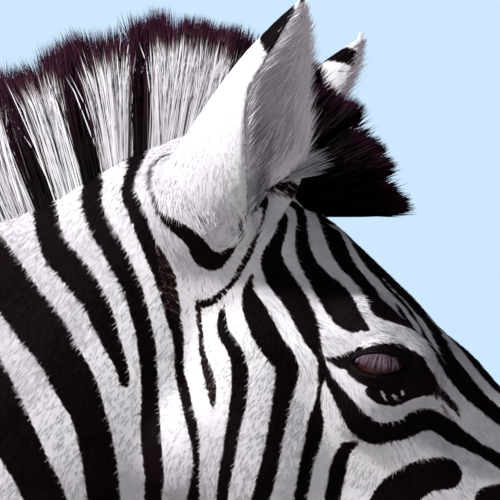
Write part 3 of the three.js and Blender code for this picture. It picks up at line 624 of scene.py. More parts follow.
def ear_point(side, along, across, shrink):
    """A leaf rolled into a cup: a size that tapers to the tip, carried round by an angle across the leaf, on
    a line that leans up and out and bows forward."""
    out = np.maximum(0, along)
    low = np.sqrt(np.maximum(0, 1 - (np.minimum(along, 0) / EAR["bulb"]) ** 2))
    leaf = np.where(along < 0, low, np.cos(math.pi / 2 * out ** EAR["taper"]))
    wide, narrow = (math.radians(turn) for turn in EAR["roll"])
    shut = (math.pi - wide) * smooth_step(0.12, -0.02, along)
    roll = (wide + shut + (narrow - wide) * np.minimum(1, out / EAR["unrolled"])) * across
    size = np.maximum(EAR["tip"], leaf) * shrink
    up = unit(np.array(EAR["lean"]) * [1, side, 1])
    opening = np.array([EAR["open"][0], side * EAR["open"][1], 0])
    opening = unit(opening - opening @ up * up)
    edge = np.cross(up, opening)
    twist = math.radians(EAR["twist"][side]) * side
    turned = opening * np.cos(twist) + edge * np.sin(twist)
    opening, edge = turned, edge * np.cos(twist) - opening * np.sin(twist)
    base = from_head(np.array(EAR["base"]) * [1, side, 1] * MM)
    bow = EAR["bow"] * np.sin(math.pi * out) - EAR["depth"] * size * np.cos(roll)
    return (
        base
        + up * (along * EAR["length"] * MM)[..., None]
        + opening * (bow * MM)[..., None]
        + edge * (EAR["width"] * size * np.sin(roll) * MM)[..., None]
    )


def ring_faces(rings, count):
    """Triangles between closed rings of equal count, with a fan over each end round two extra last points."""
    j, i = np.meshgrid(np.arange(rings - 1), np.arange(count), indexing="ij")
    a, b = (j * count + i).ravel(), (j * count + (i + 1) % count).ravel()
    sides = [np.stack([a, b, b + count], -1), np.stack([a, b + count, a + count], -1)]
    i = np.arange(count)
    first, last = np.full(count, rings * count), np.full(count, rings * count + 1)
    top = (rings - 1) * count
    ends = [np.stack([first, (i + 1) % count, i], -1), np.stack([last, top + i, top + (i + 1) % count], -1)]
    return np.concatenate(sides + ends)


def ring_points(rings):
    """Rings of shape (rings, count, 3) as points, with the centres of both end rings."""
    return np.concatenate([rings.reshape(-1, 3), rings[:1].mean(1), rings[-1:].mean(1)])


def turned_out(points, faces):
    """Faces turned so that the closed surface has a volume above zero."""
    a, b, c = (points[faces[:, k]] - points.mean(0) for k in range(3))
    volume = np.einsum("ij,ij->i", a, np.cross(b, c)).sum()
    return faces if volume > 0 else faces[:, ::-1]


EAR_GRID = (64, 30)  # rings along the ear, and points across one face of its leaf
EAR_SKIN = 0.965  # the size of the ear's skin as a share of the size with its hair
EAR_BASE_WALL = 0.16  # the size of the inner leaf at the base as a share of the ear's


def ear_grid():
    """The way along the ear and across its leaf at the points of one face."""
    share = np.linspace(0, 1, EAR_GRID[0])
    along = -0.2 + 1.185 * share + 0.06 * np.sin(math.pi * share)
    return np.meshgrid(along, np.linspace(-1, 1, EAR_GRID[1]), indexing="ij")


def ear_hollow(along):
    """The size of the inner leaf as a share of the ear's: narrow at the base, a wall's width less above."""
    return EAR_BASE_WALL + (1 - EAR["wall"] - EAR_BASE_WALL) * np.minimum(1, np.maximum(0, along) / 0.3)


def ear_shell(side):
    """The ear's skin: an outer leaf, and an inner leaf that sinks into the head at the base."""
    along, across = ear_grid()
    outer = ear_point(side, along, across, EAR_SKIN)
    inner = ear_point(side, along, across[:, ::-1] * EAR["rim"], ear_hollow(along))
    points = ring_points(np.concatenate([outer, inner], 1))
    return points, turned_out(points, ring_faces(EAR_GRID[0], 2 * EAR_GRID[1]))


# The first net's cells, how far its box passes that of the solids, and its lowest and highest level. The legs
# end inside the hooves, above the lowest level, and the ears are made apart.
NET_CELL, NET_MARGIN = 14.5 * MM, 0.03
NET_BOTTOM, NET_TOP = 0.03, 1.66


class Skin:
    """The finished skin of body and ears: points, triangles, normals and a tree to find places on it."""

    def __init__(self):
        low, high = np.array(CAD_BOX[0]) - NET_MARGIN, np.array(CAD_BOX[1]) + NET_MARGIN
        low[2], high[2] = NET_BOTTOM, NET_TOP
        points, faces = net(skin_field, low, high, NET_CELL)
        points = dropped(points, skin_field, 2)
        points, faces = refined(points, faces, size_near)
        points = relaxed(points, faces, skin_field, 3)
        normals = normals_of(points, faces)
        points = points + normals * face_forms(points)[:, None]
        for side in (-1, 1):
            points = lids(points, side)
        self.body_points = len(points)
        self.body_faces = len(faces)
        shells = [(points, faces)] + [ear_shell(side) for side in (-1, 1)]
        start = np.cumsum([0] + [len(p) for p, _ in shells])
        self.points = np.concatenate([p for p, _ in shells])
        self.faces = np.concatenate([f + s for (_, f), s in zip(shells, start)])
        self.normals = normals_of(self.points, self.faces)
        self.tree = BVHTree.FromPolygons(self.points.tolist(), self.faces.tolist())


# ---- Stripes ----
# Black strokes laid on the near side as seen in the view: points u, v of the 500 x 500 frame and the stroke's
# width there, all in points of POINT_SIZE. They run past the frame over the rest of the head and neck.
NECK_STROKES = {
    "neck_one": [(-78, 286, 44), (-55, 315, 46), (-32, 350, 47), (-12, 385, 47), (5, 418, 46),
        (20, 449, 44), (30, 468, 41), (42, 492, 42), (55, 530, 42), (70, 580, 42), (82, 650, 40)],
    "neck_two": [(-46, 214, 42), (-30, 230, 44), (-14, 252, 45), (4, 279, 46), (20, 302, 46), (35, 321, 48),
        (49, 340, 46), (58, 355, 42), (71, 377, 43), (80.5, 396, 40), (89, 417, 35), (96, 444, 35),
        (100.5, 471, 35), (104, 500, 33), (108, 540, 33), (114, 600, 34)],
    "neck_three": [(30, 186, 24), (38, 194, 24), (44, 205, 24), (46, 216, 25), (48, 229, 25), (52, 242, 27),
        (58, 254, 29), (69, 266, 30), (83, 284, 29), (94, 300, 26), (103, 320, 24.5), (110.5, 340, 19.5),
        (119, 360, 15), (123.3, 374, 12), (124.5, 382, 11)],
    "neck_four": [(88, 158, 20), (91, 172, 22), (93, 186, 22), (92, 200, 21), (94, 212, 20), (99, 225, 22),
        (107, 240, 22), (116, 255, 22), (124.5, 272, 21), (132.5, 290, 19.5), (138.5, 310, 18.3),
        (143.7, 330, 18), (147, 350, 18.5), (149.2, 375, 17.5), (150, 400, 18), (150.2, 425, 20.5),
        (151.8, 450, 20.5), (154, 475, 20), (153, 500, 18), (152, 540, 19), (150, 600, 20)],
    "neck_five": [(139, 138, 25), (139.5, 152, 22), (135, 166, 13), (129.5, 180, 12), (128, 192, 14),
        (132, 203, 16), (137, 215, 16.5), (142, 228, 17.5), (147, 240, 16), (150, 252, 13), (154, 265, 10),
        (158, 279, 7), (162, 293, 6), (166, 307, 6), (171, 320, 9), (177.5, 334, 12), (179, 350, 10),
        (179, 365, 9.5), (181, 380, 10), (184.5, 393, 11.5), (188, 410, 10.5), (192, 425, 11),
        (195, 440, 9.5), (196, 455, 7), (196, 470, 7), (194.5, 485, 10), (193.5, 500, 13), (191, 530, 16),
        (188, 570, 18)],
    "ear_curl": [(176, 150, 2.5), (168, 154, 3.2), (160, 158.5, 3), (153, 164.5, 4.5), (150, 173, 5.5),
        (150, 183, 4.5), (153, 195, 3.5), (156.5, 206, 3.5), (161, 216, 5), (170, 223, 10),
        (178, 229, 13.5), (186, 234, 15), (196.5, 244, 18), (205, 257, 22), (215, 261, 17.5),
        (224, 256, 11), (232, 248.5, 7), (239, 238, 5.5), (243, 228, 4.5), (248, 218, 4.5), (252, 212, 4.5),
        (258, 206, 5), (263, 202, 7), (268, 197, 8)],
    "behind_cheek": [(266, 200, 7), (264, 212, 4), (262, 224, 3.5), (257.5, 236, 5), (252.5, 246, 6),
        (248, 256, 6.5), (243, 265, 6.5), (238, 274, 6), (233, 282.5, 6), (227, 289, 6), (219, 296, 7),
        (211, 302, 8), (204, 304, 9), (199, 304, 9)],
    "jaw_one": [(224, 307, 3), (222, 315, 8), (222, 326, 11), (225, 336, 13), (231, 344, 14),
        (236, 354, 15), (239, 364, 16.5), (240, 378, 17.5), (239.5, 392, 17), (237.5, 408, 17),
        (234, 424, 15), (231.5, 440, 14.5), (229, 455, 14), (226, 470, 14), (223.5, 485, 13),
        (222, 500, 12), (219, 530, 13), (216, 570, 14)],
    "jaw_two": [(252, 276, 4), (249, 286, 9), (249, 296, 15), (252, 305, 21), (257, 316, 25),
        (265, 333, 27), (273, 346.5, 25.6), (283, 359, 25), (287.5, 371, 24), (285, 385, 22),
        (282, 400, 19), (278.5, 420, 18.5), (274.5, 440, 17.5), (271, 460, 18), (266, 480, 19),
        (260.5, 500, 18.5), (252, 530, 19), (242, 570, 20)],
    "cheek_one": [(278, 192, 3), (282, 203, 6), (285, 212, 8), (283, 225, 10), (279, 237, 12),
        (274, 249, 17), (272, 261, 23), (276, 273, 26), (283, 284, 26), (293.5, 298, 25), (303, 316, 23.5),
        (309.5, 330.5, 21), (314.5, 346, 12), (318.5, 356, 5), (320.5, 364, 6), (322, 375, 10)],
    "cheek_rim": [(322, 375, 9), (320.5, 384, 5), (319.5, 392, 5), (318.5, 400, 6), (317, 410, 10),
        (316, 420, 15.5), (315, 430, 17), (313, 440, 17.5), (310.5, 450, 16), (306.5, 465, 14.5),
        (304, 480, 14), (300, 500, 14), (292, 540, 15), (285, 590, 16)],
    "under_eye": [(319.5, 338, 3), (320.5, 350, 4), (323, 362, 6), (328, 377, 8), (335, 389, 12),
        (343, 401, 16), (351, 413, 20), (361, 425, 24), (375, 433, 23), (390, 432, 20), (405, 429, 21),
        (418, 421, 23), (430, 419.5, 22), (442, 425, 20), (455, 434, 21), (468, 441, 17), (484, 451, 15),
        (500, 461, 14), (540, 492, 14), (580, 525, 12), (615, 555, 8)],
    "cheek_two": [(352, 440, 16), (346, 448, 13), (341, 458, 15), (338, 470, 17.5), (335, 485, 17),
        (332, 500, 16), (326, 530, 17), (318, 580, 18)],
    "eye_fill": [(352, 369, 12), (362, 373, 21), (376, 377, 24), (388, 379, 22), (400, 378, 18)],
    "cheek_blob": [(446, 473.5, 33), (434, 474, 33), (420, 478, 36), (408, 486, 38), (396, 500, 46),
        (380, 530, 44), (366, 570, 36), (352, 600, 26)],
    "muzzle_low": [(488, 501, 28), (505, 503, 36), (540, 525, 26), (580, 552, 17), (610, 574, 10)],
    "muzzle_lower": [(500, 540, 12), (470, 552, 20), (440, 575, 18), (424, 600, 12)],
    # Partly painted shadow: as far as u 310 the temple stroke is black for the shadow under the white lock by
    # the ear; past that it is the forelock's black base.
    "temple": [(285, 184, 4), (296, 184, 8), (310, 185, 10), (325, 188, 13), (340, 196, 16)],
    "brow_left": [(292.5, 195, 5), (296, 206, 9), (300.5, 220, 11), (301.5, 235, 13), (303, 250, 16),
        (308, 263, 17), (316, 275, 20), (327, 289, 26), (337, 301, 31), (346.5, 313, 32), (356, 320, 28)],
    "brow_tip": [(360, 322, 24), (366, 327, 10), (372, 329, 3)],
    "forehead": [(316, 190, 14), (322, 206, 20), (329, 226, 25), (337, 246, 28), (350, 262, 30),
        (366, 280, 36), (383, 299, 38), (396, 312, 34), (412, 326, 26)],
    "forehead_edge": [(335, 205, 26), (350, 232, 26), (368, 256, 28), (388, 278, 34), (410, 300, 40),
        (432, 325, 44), (455, 350, 52), (480, 375, 64), (505, 400, 66), (560, 446, 56), (610, 490, 46),
        (660, 540, 44)],
    "eye_patch": [(350, 364, 14), (362, 362, 24), (376, 361, 32), (392, 361, 36), (406, 366, 34),
        (416, 374, 36), (424, 380, 28)],
    "eye_corner": [(326, 358.5, 3), (334, 360.5, 8), (342, 362, 14), (350, 361, 20), (358, 360, 25)],
    "eye_under": [(372, 391, 15), (382, 393, 23), (395, 392, 27), (408, 387, 26), (420, 383, 28),
        (430, 387, 20)],
}
# Strokes whose hair is mixed with white.
FADED_STROKES = {
    "neck_side": [(159, 249, 5), (163, 262, 12), (168, 278, 16), (170, 292, 16), (173, 305, 15),
        (176, 320, 12), (178, 332, 11)],
    "throat_fork": [(198, 308, 7), (199, 320, 5), (200, 330, 5.5), (201, 340, 6), (202, 350, 6.5),
        (204, 360, 8), (207, 370, 10), (210, 380, 11), (212, 390, 10), (213, 400, 6.5), (213, 409, 2.5)],
    "tear": [(433, 384, 8), (440, 395, 12), (449, 405, 14), (456, 416, 9), (461, 424, 3)],
}
# Pale strokes cut out of the black ones.
PALE_STROKES = {
    "brow_line": [(300, 191, 5), (306, 200, 8), (309, 210, 9), (314.5, 225, 10.5), (319, 240, 11.5),
        (325.5, 255, 11), (334.5, 270, 10.5), (345, 280, 10), (352, 287, 10), (360, 299, 10.5),
        (365, 310, 10), (370, 320, 9), (374, 328, 8), (376, 335, 8)],
    "brow_line_top": [(297, 191.5, 3), (305, 191.5, 5), (315, 190.5, 3)],
    "temple_line": [(277, 181, 5), (283.5, 190, 6.5), (287.5, 200, 7), (291, 210, 7.5), (293, 220, 8),
        (291.5, 228, 8)],
    "line_one": [(323, 202, 1.5), (328, 211, 2.5), (336, 222, 3), (342, 232, 4), (349, 245, 5),
        (354, 255, 6.5), (361, 266, 7), (371, 278, 7), (381, 290, 7), (388, 300, 8.5), (395, 310, 8.5),
        (401, 317, 4)],
    "line_two": [(376, 278, 2), (385, 289, 2), (395, 299, 2.5), (403, 308, 3), (410, 318, 4), (417, 328, 5),
        (421, 338, 6), (424, 347, 7), (429, 358, 8.5), (435, 368, 9.5), (443, 379, 10), (451, 390, 10),
        (460, 400, 10), (470, 409, 10), (481, 418, 10), (492, 427, 10), (503, 433, 10), (520, 443, 10),
        (560, 475, 9), (600, 508, 7), (630, 535, 3)],
    "line_three": [(383, 279, 2), (393, 290, 2.5), (402, 299, 3), (411, 309, 3.5), (419, 319, 4.5),
        (426, 330, 5), (432, 341, 4), (438, 352, 3), (443, 361, 1.5)],
    "line_four": [(424, 311, 2), (432, 319, 2.5), (440, 328, 5), (448, 339, 7), (455, 349, 8),
        (463, 360, 8.5), (471, 370, 8.5), (480, 381, 9), (490, 392, 9.5), (500, 401, 10), (515, 412, 10),
        (560, 447, 9), (600, 480, 7), (635, 512, 3)],
    "line_five": [(462, 346, 1), (470, 354, 2.5), (480, 363, 3.5), (490, 371, 4), (500, 379, 5),
        (515, 390, 6), (560, 428, 7), (600, 462, 6), (640, 498, 3)],
    "line_six": [(437, 397, 2), (445, 406, 4), (455, 416, 5), (465, 427, 6), (475, 434, 6.5), (485, 441, 7),
        (500, 449, 7), (540, 476, 8), (580, 507, 7), (612, 536, 3)],
    "triangle": [(325, 388, 6), (326, 400, 9), (330, 412, 13), (334, 424, 19), (338, 433, 17),
        (348, 437, 8), (355, 438, 4)],
    "speck_one": [(381.5, 392, 2), (384, 395.5, 3)],
    "speck_two": [(393, 395.5, 2.5), (395.8, 398, 3.5)],
    "speck_three": [(402, 391.5, 2), (403, 394, 3)],
    "brow_patch": [(412, 340, 6), (418, 345, 7), (421, 350, 5)],
}
# Stripes of the trunk, shoulder and haunch, seen square from the side: x, z and width in millimetres before
# the animal is centred.
SIDE_STROKES = [
    [(492, 1428, 36), (528, 1378, 38), (566, 1300, 38), (596, 1228, 36), (618, 1160, 32), (630, 1110, 26)],
    [(436, 1388, 36), (478, 1320, 38), (522, 1232, 38), (556, 1150, 36), (582, 1080, 32), (600, 1010, 26)],
    [(382, 1348, 36), (424, 1270, 38), (468, 1180, 38), (508, 1085, 36), (540, 1000, 34), (560, 930, 24)],
    [(332, 1312, 34), (368, 1232, 38), (410, 1140, 40), (452, 1040, 38), (490, 950, 32), (520, 880, 22)],
    [(282, 1298, 32), (306, 1220, 38), (340, 1125, 40), (378, 1030, 38), (420, 945, 34), (456, 880, 26),
     (490, 840, 10)],
    [(224, 1285, 30), (238, 1190, 40), (258, 1085, 42), (286, 985, 40), (318, 905, 36), (352, 850, 24),
     (380, 822, 8)],
    [(160, 1268, 30), (164, 1170, 40), (174, 1060, 44), (190, 950, 42), (212, 850, 34), (232, 780, 18),
     (240, 740, 4)],
    [(94, 1248, 30), (90, 1150, 40), (94, 1030, 46), (102, 910, 44), (112, 810, 32), (118, 740, 12)],
    [(26, 1236, 30), (14, 1140, 40), (10, 1020, 46), (14, 900, 44), (22, 800, 30), (28, 735, 10)],
    [(-44, 1230, 30), (-64, 1140, 40), (-72, 1030, 46), (-70, 910, 44), (-62, 810, 30), (-54, 745, 10)],
    [(-112, 1234, 30), (-144, 1150, 40), (-156, 1050, 46), (-154, 930, 44), (-140, 830, 30),
     (-128, 765, 8)],
    [(-180, 1244, 28), (-222, 1170, 38), (-242, 1085, 42), (-242, 990, 40), (-226, 900, 32),
     (-208, 830, 12)],
    [(-244, 1256, 26), (-280, 1206, 34), (-296, 1150, 28), (-302, 1110, 8)],
    [(-274, 1046, 5), (-292, 1092, 22), (-334, 1142, 34), (-400, 1184, 38), (-470, 1210, 36),
     (-540, 1220, 32), (-600, 1212, 24), (-640, 1192, 10)],
    [(-306, 1186, 5), (-334, 1212, 24), (-390, 1238, 30), (-460, 1256, 28), (-530, 1262, 22),
     (-590, 1250, 10)],
    [(-262, 868, 10), (-280, 930, 30), (-318, 1000, 44), (-380, 1064, 48), (-462, 1116, 46),
     (-548, 1148, 38), (-618, 1160, 26), (-650, 1150, 14)],
    [(-300, 800, 12), (-330, 858, 34), (-378, 920, 46), (-450, 976, 50), (-536, 1018, 46), (-618, 1048, 36),
     (-664, 1060, 24)],
    [(-356, 756, 16), (-398, 810, 38), (-460, 862, 46), (-540, 906, 44), (-620, 936, 34), (-664, 950, 20)],
    [(-404, 716, 14), (-452, 758, 34), (-516, 800, 40), (-590, 836, 34), (-640, 856, 22)],
]
# Faint shadow stripes in the white of the haunch.
SHADOW_STROKES = [
    [(-300, 900, 5), (-350, 962, 15), (-420, 1022, 18), (-500, 1066, 16), (-590, 1100, 12),
     (-640, 1106, 4)],
    [(-344, 810, 5), (-390, 866, 15), (-455, 920, 18), (-540, 962, 16), (-620, 990, 12), (-655, 1002, 4)],
    [(-400, 762, 5), (-450, 808, 14), (-520, 852, 15), (-600, 886, 12), (-640, 900, 4)],
    [(-330, 1098, 5), (-390, 1128, 13), (-470, 1162, 15), (-560, 1184, 12), (-620, 1180, 4)],
]
# A stripe of the breast between those of the shoulder, seen square from the front: y, z and width of a half.
FRONT_STROKES = [[(0, 1036, 22), (36, 1042, 24), (70, 1054, 18), (92, 1068, 6)]]


def smooth_path(points, step):
    """A Catmull-Rom curve through rows of numbers, with a row about every step of its first two columns."""
    p = np.array(points, float)
    p = np.concatenate([2 * p[:1] - p[1:2], p, 2 * p[-1:] - p[-2:-1]])
    result = []
    for a, b, c, d in zip(p, p[1:], p[2:], p[3:]):
        n = max(1, int(np.linalg.norm((c - b)[:2]) / step))
        t = (np.arange(n) / n)[:, None]
        result.append(0.5 * (2 * b + (c - a) * t + (2 * a - 5 * b + 4 * c - d) * t**2
                             + (3 * b - a - 3 * c + d) * t**3))
    return np.concatenate(result + [p[-2:-1]])


RAY_REACH = 2 * VIEW_DISTANCE


def laid(tree, path, ray_of):
    """A stroke laid on the skin: rays through both its edges find where they lie, and the stroke becomes a
    row of middles and half widths there. Edges that miss the skin come in to the middle."""
    way = np.gradient(path[:, :2], axis=0)
    way = way / np.maximum(np.linalg.norm(way, axis=1, keepdims=True), 1e-9)
    side = np.stack([-way[:, 1], way[:, 0]], -1) * np.maximum(path[:, 2:3], 0.1) / 2
    hits = []
    for offset in (-1, 0, 1):
        row = []
        for uv in path[:, :2] + side * offset:
            start, direction = ray_of(uv)
            found = tree.ray_cast(Vector(start), Vector(direction), RAY_REACH)[0]
            row.append([math.nan] * 3 if found is None else list(found))
        hits.append(np.array(row))
    left, middle, right = hits
    # Past an edge that misses, the stroke is as wide as on its other side.
    left = np.where(np.isnan(left), 2 * middle - right, left)
    right = np.where(np.isnan(right), 2 * middle - left, right)
    keep = ~np.isnan(middle).any(1)
    left, middle, right, path = left[keep], middle[keep], right[keep], path[keep]
    if len(middle) < 2:
        return None
    flat = path[:, 2] * POINT_SIZE / 2
    along = unit(np.gradient(middle, axis=0))
    span = right - left
    span = span - (span * along).sum(1, keepdims=True) * along
    half = np.linalg.norm(span, axis=1) / 2
    sound = half < flat * 2.6
    middle = np.where(sound[:, None], (left + right) / 2, middle)
    half = np.where(sound, half, flat)
    middle[:, 1] = -np.abs(middle[:, 1])
    return np.concatenate([middle, half[:, None]], 1)


def view_ray(uv):
    """The ray from the camera through a point of the frame."""
    way = in_view(*uv) - CAMERA_PLACE
    return CAMERA_PLACE, way / np.linalg.norm(way)


def side_ray(xz):
    """The ray from the right side through a place x, z."""
    return (xz[0] * MM + SHIFT[0], -2.0, xz[1] * MM + SHIFT[2]), (0, 1, 0)


def front_ray(yz):
    """The ray from the front through a place y, z."""
    return (3.0, -yz[0] * MM, yz[1] * MM + SHIFT[2]), (-1, 0, 0)


RUN_ON_END = 11 * MM  # half the width of a stripe where it meets the middle of the animal


def run_on(tree, stroke, move):
    """A stripe's way on over the skin from its last row to the middle of the animal: an arc that leaves along
    the stripe."""
    start, half = stroke[-1, :3], stroke[-1, 3]
    bend = start + unit(start - stroke[-4, :3]) * abs(start[1]) * 0.6
    end = (start + move) * [1, 0, 1]
    t = np.linspace(0, 1, 12)[:, None]
    arc = start * (1 - t) ** 2 + bend * 2 * t * (1 - t) + end * t**2
    places = [list(tree.find_nearest(Vector(p))[0]) for p in arc]
    return np.concatenate([places, half + (RUN_ON_END - half) * t], 1)


def near_strokes(strokes, p):
    """The greatest of half width minus distance over strokes: above zero inside a stroke, in metres."""
    best = np.full(len(p), NO_MARK, np.float32)
    for stroke in strokes:
        reach = stroke[:, 3].max() + 0.03
        low, high = stroke[:, :3].min(0) - reach, stroke[:, :3].max(0) + reach
        index = np.nonzero(((p > low) & (p < high)).all(1))[0]
        if not len(index):
            continue
        q = p[index]
        value = np.full(len(q), NO_MARK, np.float32)
        for a, b in zip(stroke, stroke[1:]):
            way = (b - a)[:3].astype(np.float32)
            d = q - a[:3].astype(np.float32)
            t = np.clip(d @ way / max(float(way @ way), 1e-12), 0, 1)
            half = a[3] + t * (b[3] - a[3])
            value = np.maximum(value, half - np.linalg.norm(d - t[:, None] * way, axis=1))
        best[index] = np.maximum(best[index], value)
    return best


def laid_all(tree, strokes, step, ray_of):
    """Several strokes laid on the skin, without those that miss it."""
    found = [laid(tree, smooth_path(stroke, step), ray_of) for stroke in strokes]
    return [stroke for stroke in found if stroke is not None]


# The most that strokes of mixed hair count for, in metres: hair by hair they come out black or white.
FADED_MOST, SHADOW_MOST = 0.001, 0.0003
SPINE_HALF_WIDTH = 12 * MM
DOCK_BAR_STEP = 0.042
# Rings of the legs: their spacing at the ground, its growth with height, the share of half a step that is
# white, how much they rise to the front, and where they end on fore and hind legs, in metres.
RINGS = {"spacing": 0.030, "growth": 0.034, "white": 0.26, "rise": 0.22, "fore_top": 0.80, "hind_top": 0.74}
FORE_AXIS, HIND_AXIS = 0.24, -0.78  # the places of the legs along the animal
# Where stripes go on to the middle: on the throat and breast, and on the rump.
THROAT_WAY, RUMP_WAY = np.array([[0.02, 0, -0.026], [-0.05, 0, 0.02]])


class Markings:
    """Where the coat is black. Its strokes are laid on the skin once, for both sides."""

    def __init__(self, skin):
        tree = skin.tree
        tables = (NECK_STROKES, FADED_STROKES, PALE_STROKES)
        self.black, self.faded, self.pale = (laid_all(tree, t.values(), 5, view_ray) for t in tables)
        sides = laid_all(tree, SIDE_STROKES, 25, side_ray)
        # They run on to the middle of the back, and the foremost ones to the middle of the throat and breast.
        tops = [run_on(tree, s[::-1], (s[0] - s[1])[:3] * 1.2 + [0, 0, 0.03]) for s in sides
                if s[0, 2] > 1.19 and s[0, 0] > -0.48]
        fronts = [run_on(tree, s, THROAT_WAY) for s in self.black + sides
                  if s[-1, 2] < 1.31 and 0.3 < s[-1, 0] < 0.6]
        backs = [run_on(tree, s, RUMP_WAY) for s in sides
                 if s[-1, 2] > 1.1 and -0.83 < s[-1, 0] < -0.6]
        self.black += sides + tops + fronts + backs + laid_all(tree, FRONT_STROKES, 15, front_ray)
        self.shadow = laid_all(tree, SHADOW_STROKES, 25, side_ray)

    def at(self, points):
        """Signed distance to the edge of the black hair, above zero inside it, in metres."""
        p = np.array(points, np.float32)
        p[:, 1] = -np.abs(p[:, 1])
        x, side, z = p[:, 0], np.abs(p[:, 1]), p[:, 2]
        body = near_strokes(self.black, p)
        faded = np.minimum(near_strokes(self.faded, p), FADED_MOST)
        shadow = np.minimum(near_strokes(self.shadow, p), SHADOW_MOST)
        value = np.maximum(np.maximum(body, faded), shadow)
        value = np.minimum(value, -near_strokes(self.pale, p))
        head = to_head(p) / MM
        # The muzzle is black, and a thin black line runs down the back and along the belly.
        nose = (head[:, 0] - 432 - 0.25 * head[:, 2]) * MM * 0.8
        nose = np.where((z > 1.0) & (x > 0.5), nose, NO_MARK)
        spine = np.where((x < 0.12) & (z > 1.1), SPINE_HALF_WIDTH - side, NO_MARK)
        under = smooth_step(0.36, 0.28, np.abs(x + 0.16))
        belly = np.where((z < 0.98) & (z > 0.6), (23 * under - 15) * MM - side, NO_MARK)
        # Bars cross the tail's dock.
        bar = (0.24 - np.abs((z / DOCK_BAR_STEP) % 1 - 0.5)) * DOCK_BAR_STEP
        bar = np.where((x < -0.895) & (z > 0.6), bar, NO_MARK)
        for line in (nose, spine, belly, bar, leg_rings(p)):
            value = np.maximum(value, line)
        return value


def leg_rings(p):
    """Black rings round the legs: a wave of the height, slower higher up, that tilts to the front."""
    fore = p[:, 0] > -0.1
    top = np.where(fore, RINGS["fore_top"], RINGS["hind_top"])
    ahead = p[:, 0] - np.where(fore, FORE_AXIS, HIND_AXIS)
    z = p[:, 2] + RINGS["rise"] * ahead + 0.012 * np.sin(p[:, 2] * 31 + fore * 2.0)
    spacing = RINGS["spacing"] + RINGS["growth"] * np.clip(z, 0, 1)
    turn = np.log(RINGS["spacing"] + RINGS["growth"] * np.maximum(z, 0.02)) / RINGS["growth"] + 0.3 * fore
    wave = 0.5 - np.abs(turn % 1 - 0.5)
    ring = (wave - RINGS["white"]) * spacing
    inner = smooth_step(0.05, 0.085, np.abs(p[:, 1]))
    ring = ring - (1 - inner) * 0.006
    fade = smooth_step(top - 0.05, top + 0.03, p[:, 2] - 0.1 * ahead)
    on_leg = (p[:, 2] < 0.9) & ((np.abs(p[:, 0] - FORE_AXIS) < 0.13) | (p[:, 0] < -0.44))
    return np.where(on_leg, ring + fade * NO_MARK, NO_MARK).astype(np.float32)


# ---- Meshes ----
def mesh_object(name, points, faces):
    """An object made of points and outward triangles, riding the animal's one body."""
    mesh = bpy.data.meshes.new(name)
    mesh.vertices.add(len(points))
    mesh.vertices.foreach_set("co", np.asarray(points, np.float32).ravel())
    mesh.loops.add(3 * len(faces))
    mesh.loops.foreach_set("vertex_index", np.asarray(faces, np.int32).ravel())
    mesh.polygons.add(len(faces))
    mesh.polygons.foreach_set("loop_start", np.arange(0, 3 * len(faces), 3, dtype=np.int32))
    mesh.polygons.foreach_set("use_smooth", np.full(len(faces), True))
    mesh.update(calc_edges=True)
    made = bpy.data.objects.new(name, mesh)
    bpy.context.scene.collection.objects.link(made)
    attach(made, "root")
    return made


def set_attribute(made, name, values):
    """A number at each point of a mesh, for its material to read."""
    data = made.data.attributes.new(name, "FLOAT", "POINT").data
    data.foreach_set("value", np.asarray(values, np.float32))


# ---- Hair ----
PATCH = 0.003  # size of one hair's patch on its chart
ROUNDNESS = 0.35  # how far a hair's normals turn to its sides
BLACK_HAIR, WHITE_HAIR = 0.01, -0.01  # tints well inside the black and the white


def spikes(paths, widths, thick, out):
    """Closed three-sided spikes along paths of shape (count, rings + 1, 3), whose last point is the tip. Each
    ring is a flat triangle: two corners half a width to either side, and a ridge on the outer side."""
    count, rings = paths.shape[0], paths.shape[1] - 1
    way = unit(np.gradient(paths, axis=1))[:, :rings]
    out = np.broadcast_to(out[:, None], way.shape)
    side = unit(np.cross(way, out))
    crown = np.cross(side, way)
    half = (widths / 2)[..., None]
    centre = paths[:, :rings]
    corners = np.stack([centre - side * half, centre + side * half, centre + crown * thick[..., None]], 2)
    size = 3 * rings + 1
    points = np.concatenate([corners.reshape(count, -1, 3), paths[:, -1:]], 1).reshape(-1, 3)
    one = [(0, 1, 2)]
    for k in range(rings - 1):
        for a, b in ((0, 2), (2, 1), (1, 0)):
            one += [(3 * k + a, 3 * k + b, 3 * k + b + 3), (3 * k + a, 3 * k + b + 3, 3 * k + a + 3)]
    top = 3 * (rings - 1)
    one += [(top, top + 2, 3 * rings), (top + 2, top + 1, 3 * rings), (top + 1, top, 3 * rings)]
    faces = (np.arange(count)[:, None, None] * size + np.array(one)).reshape(-1, 3)
    return points, faces


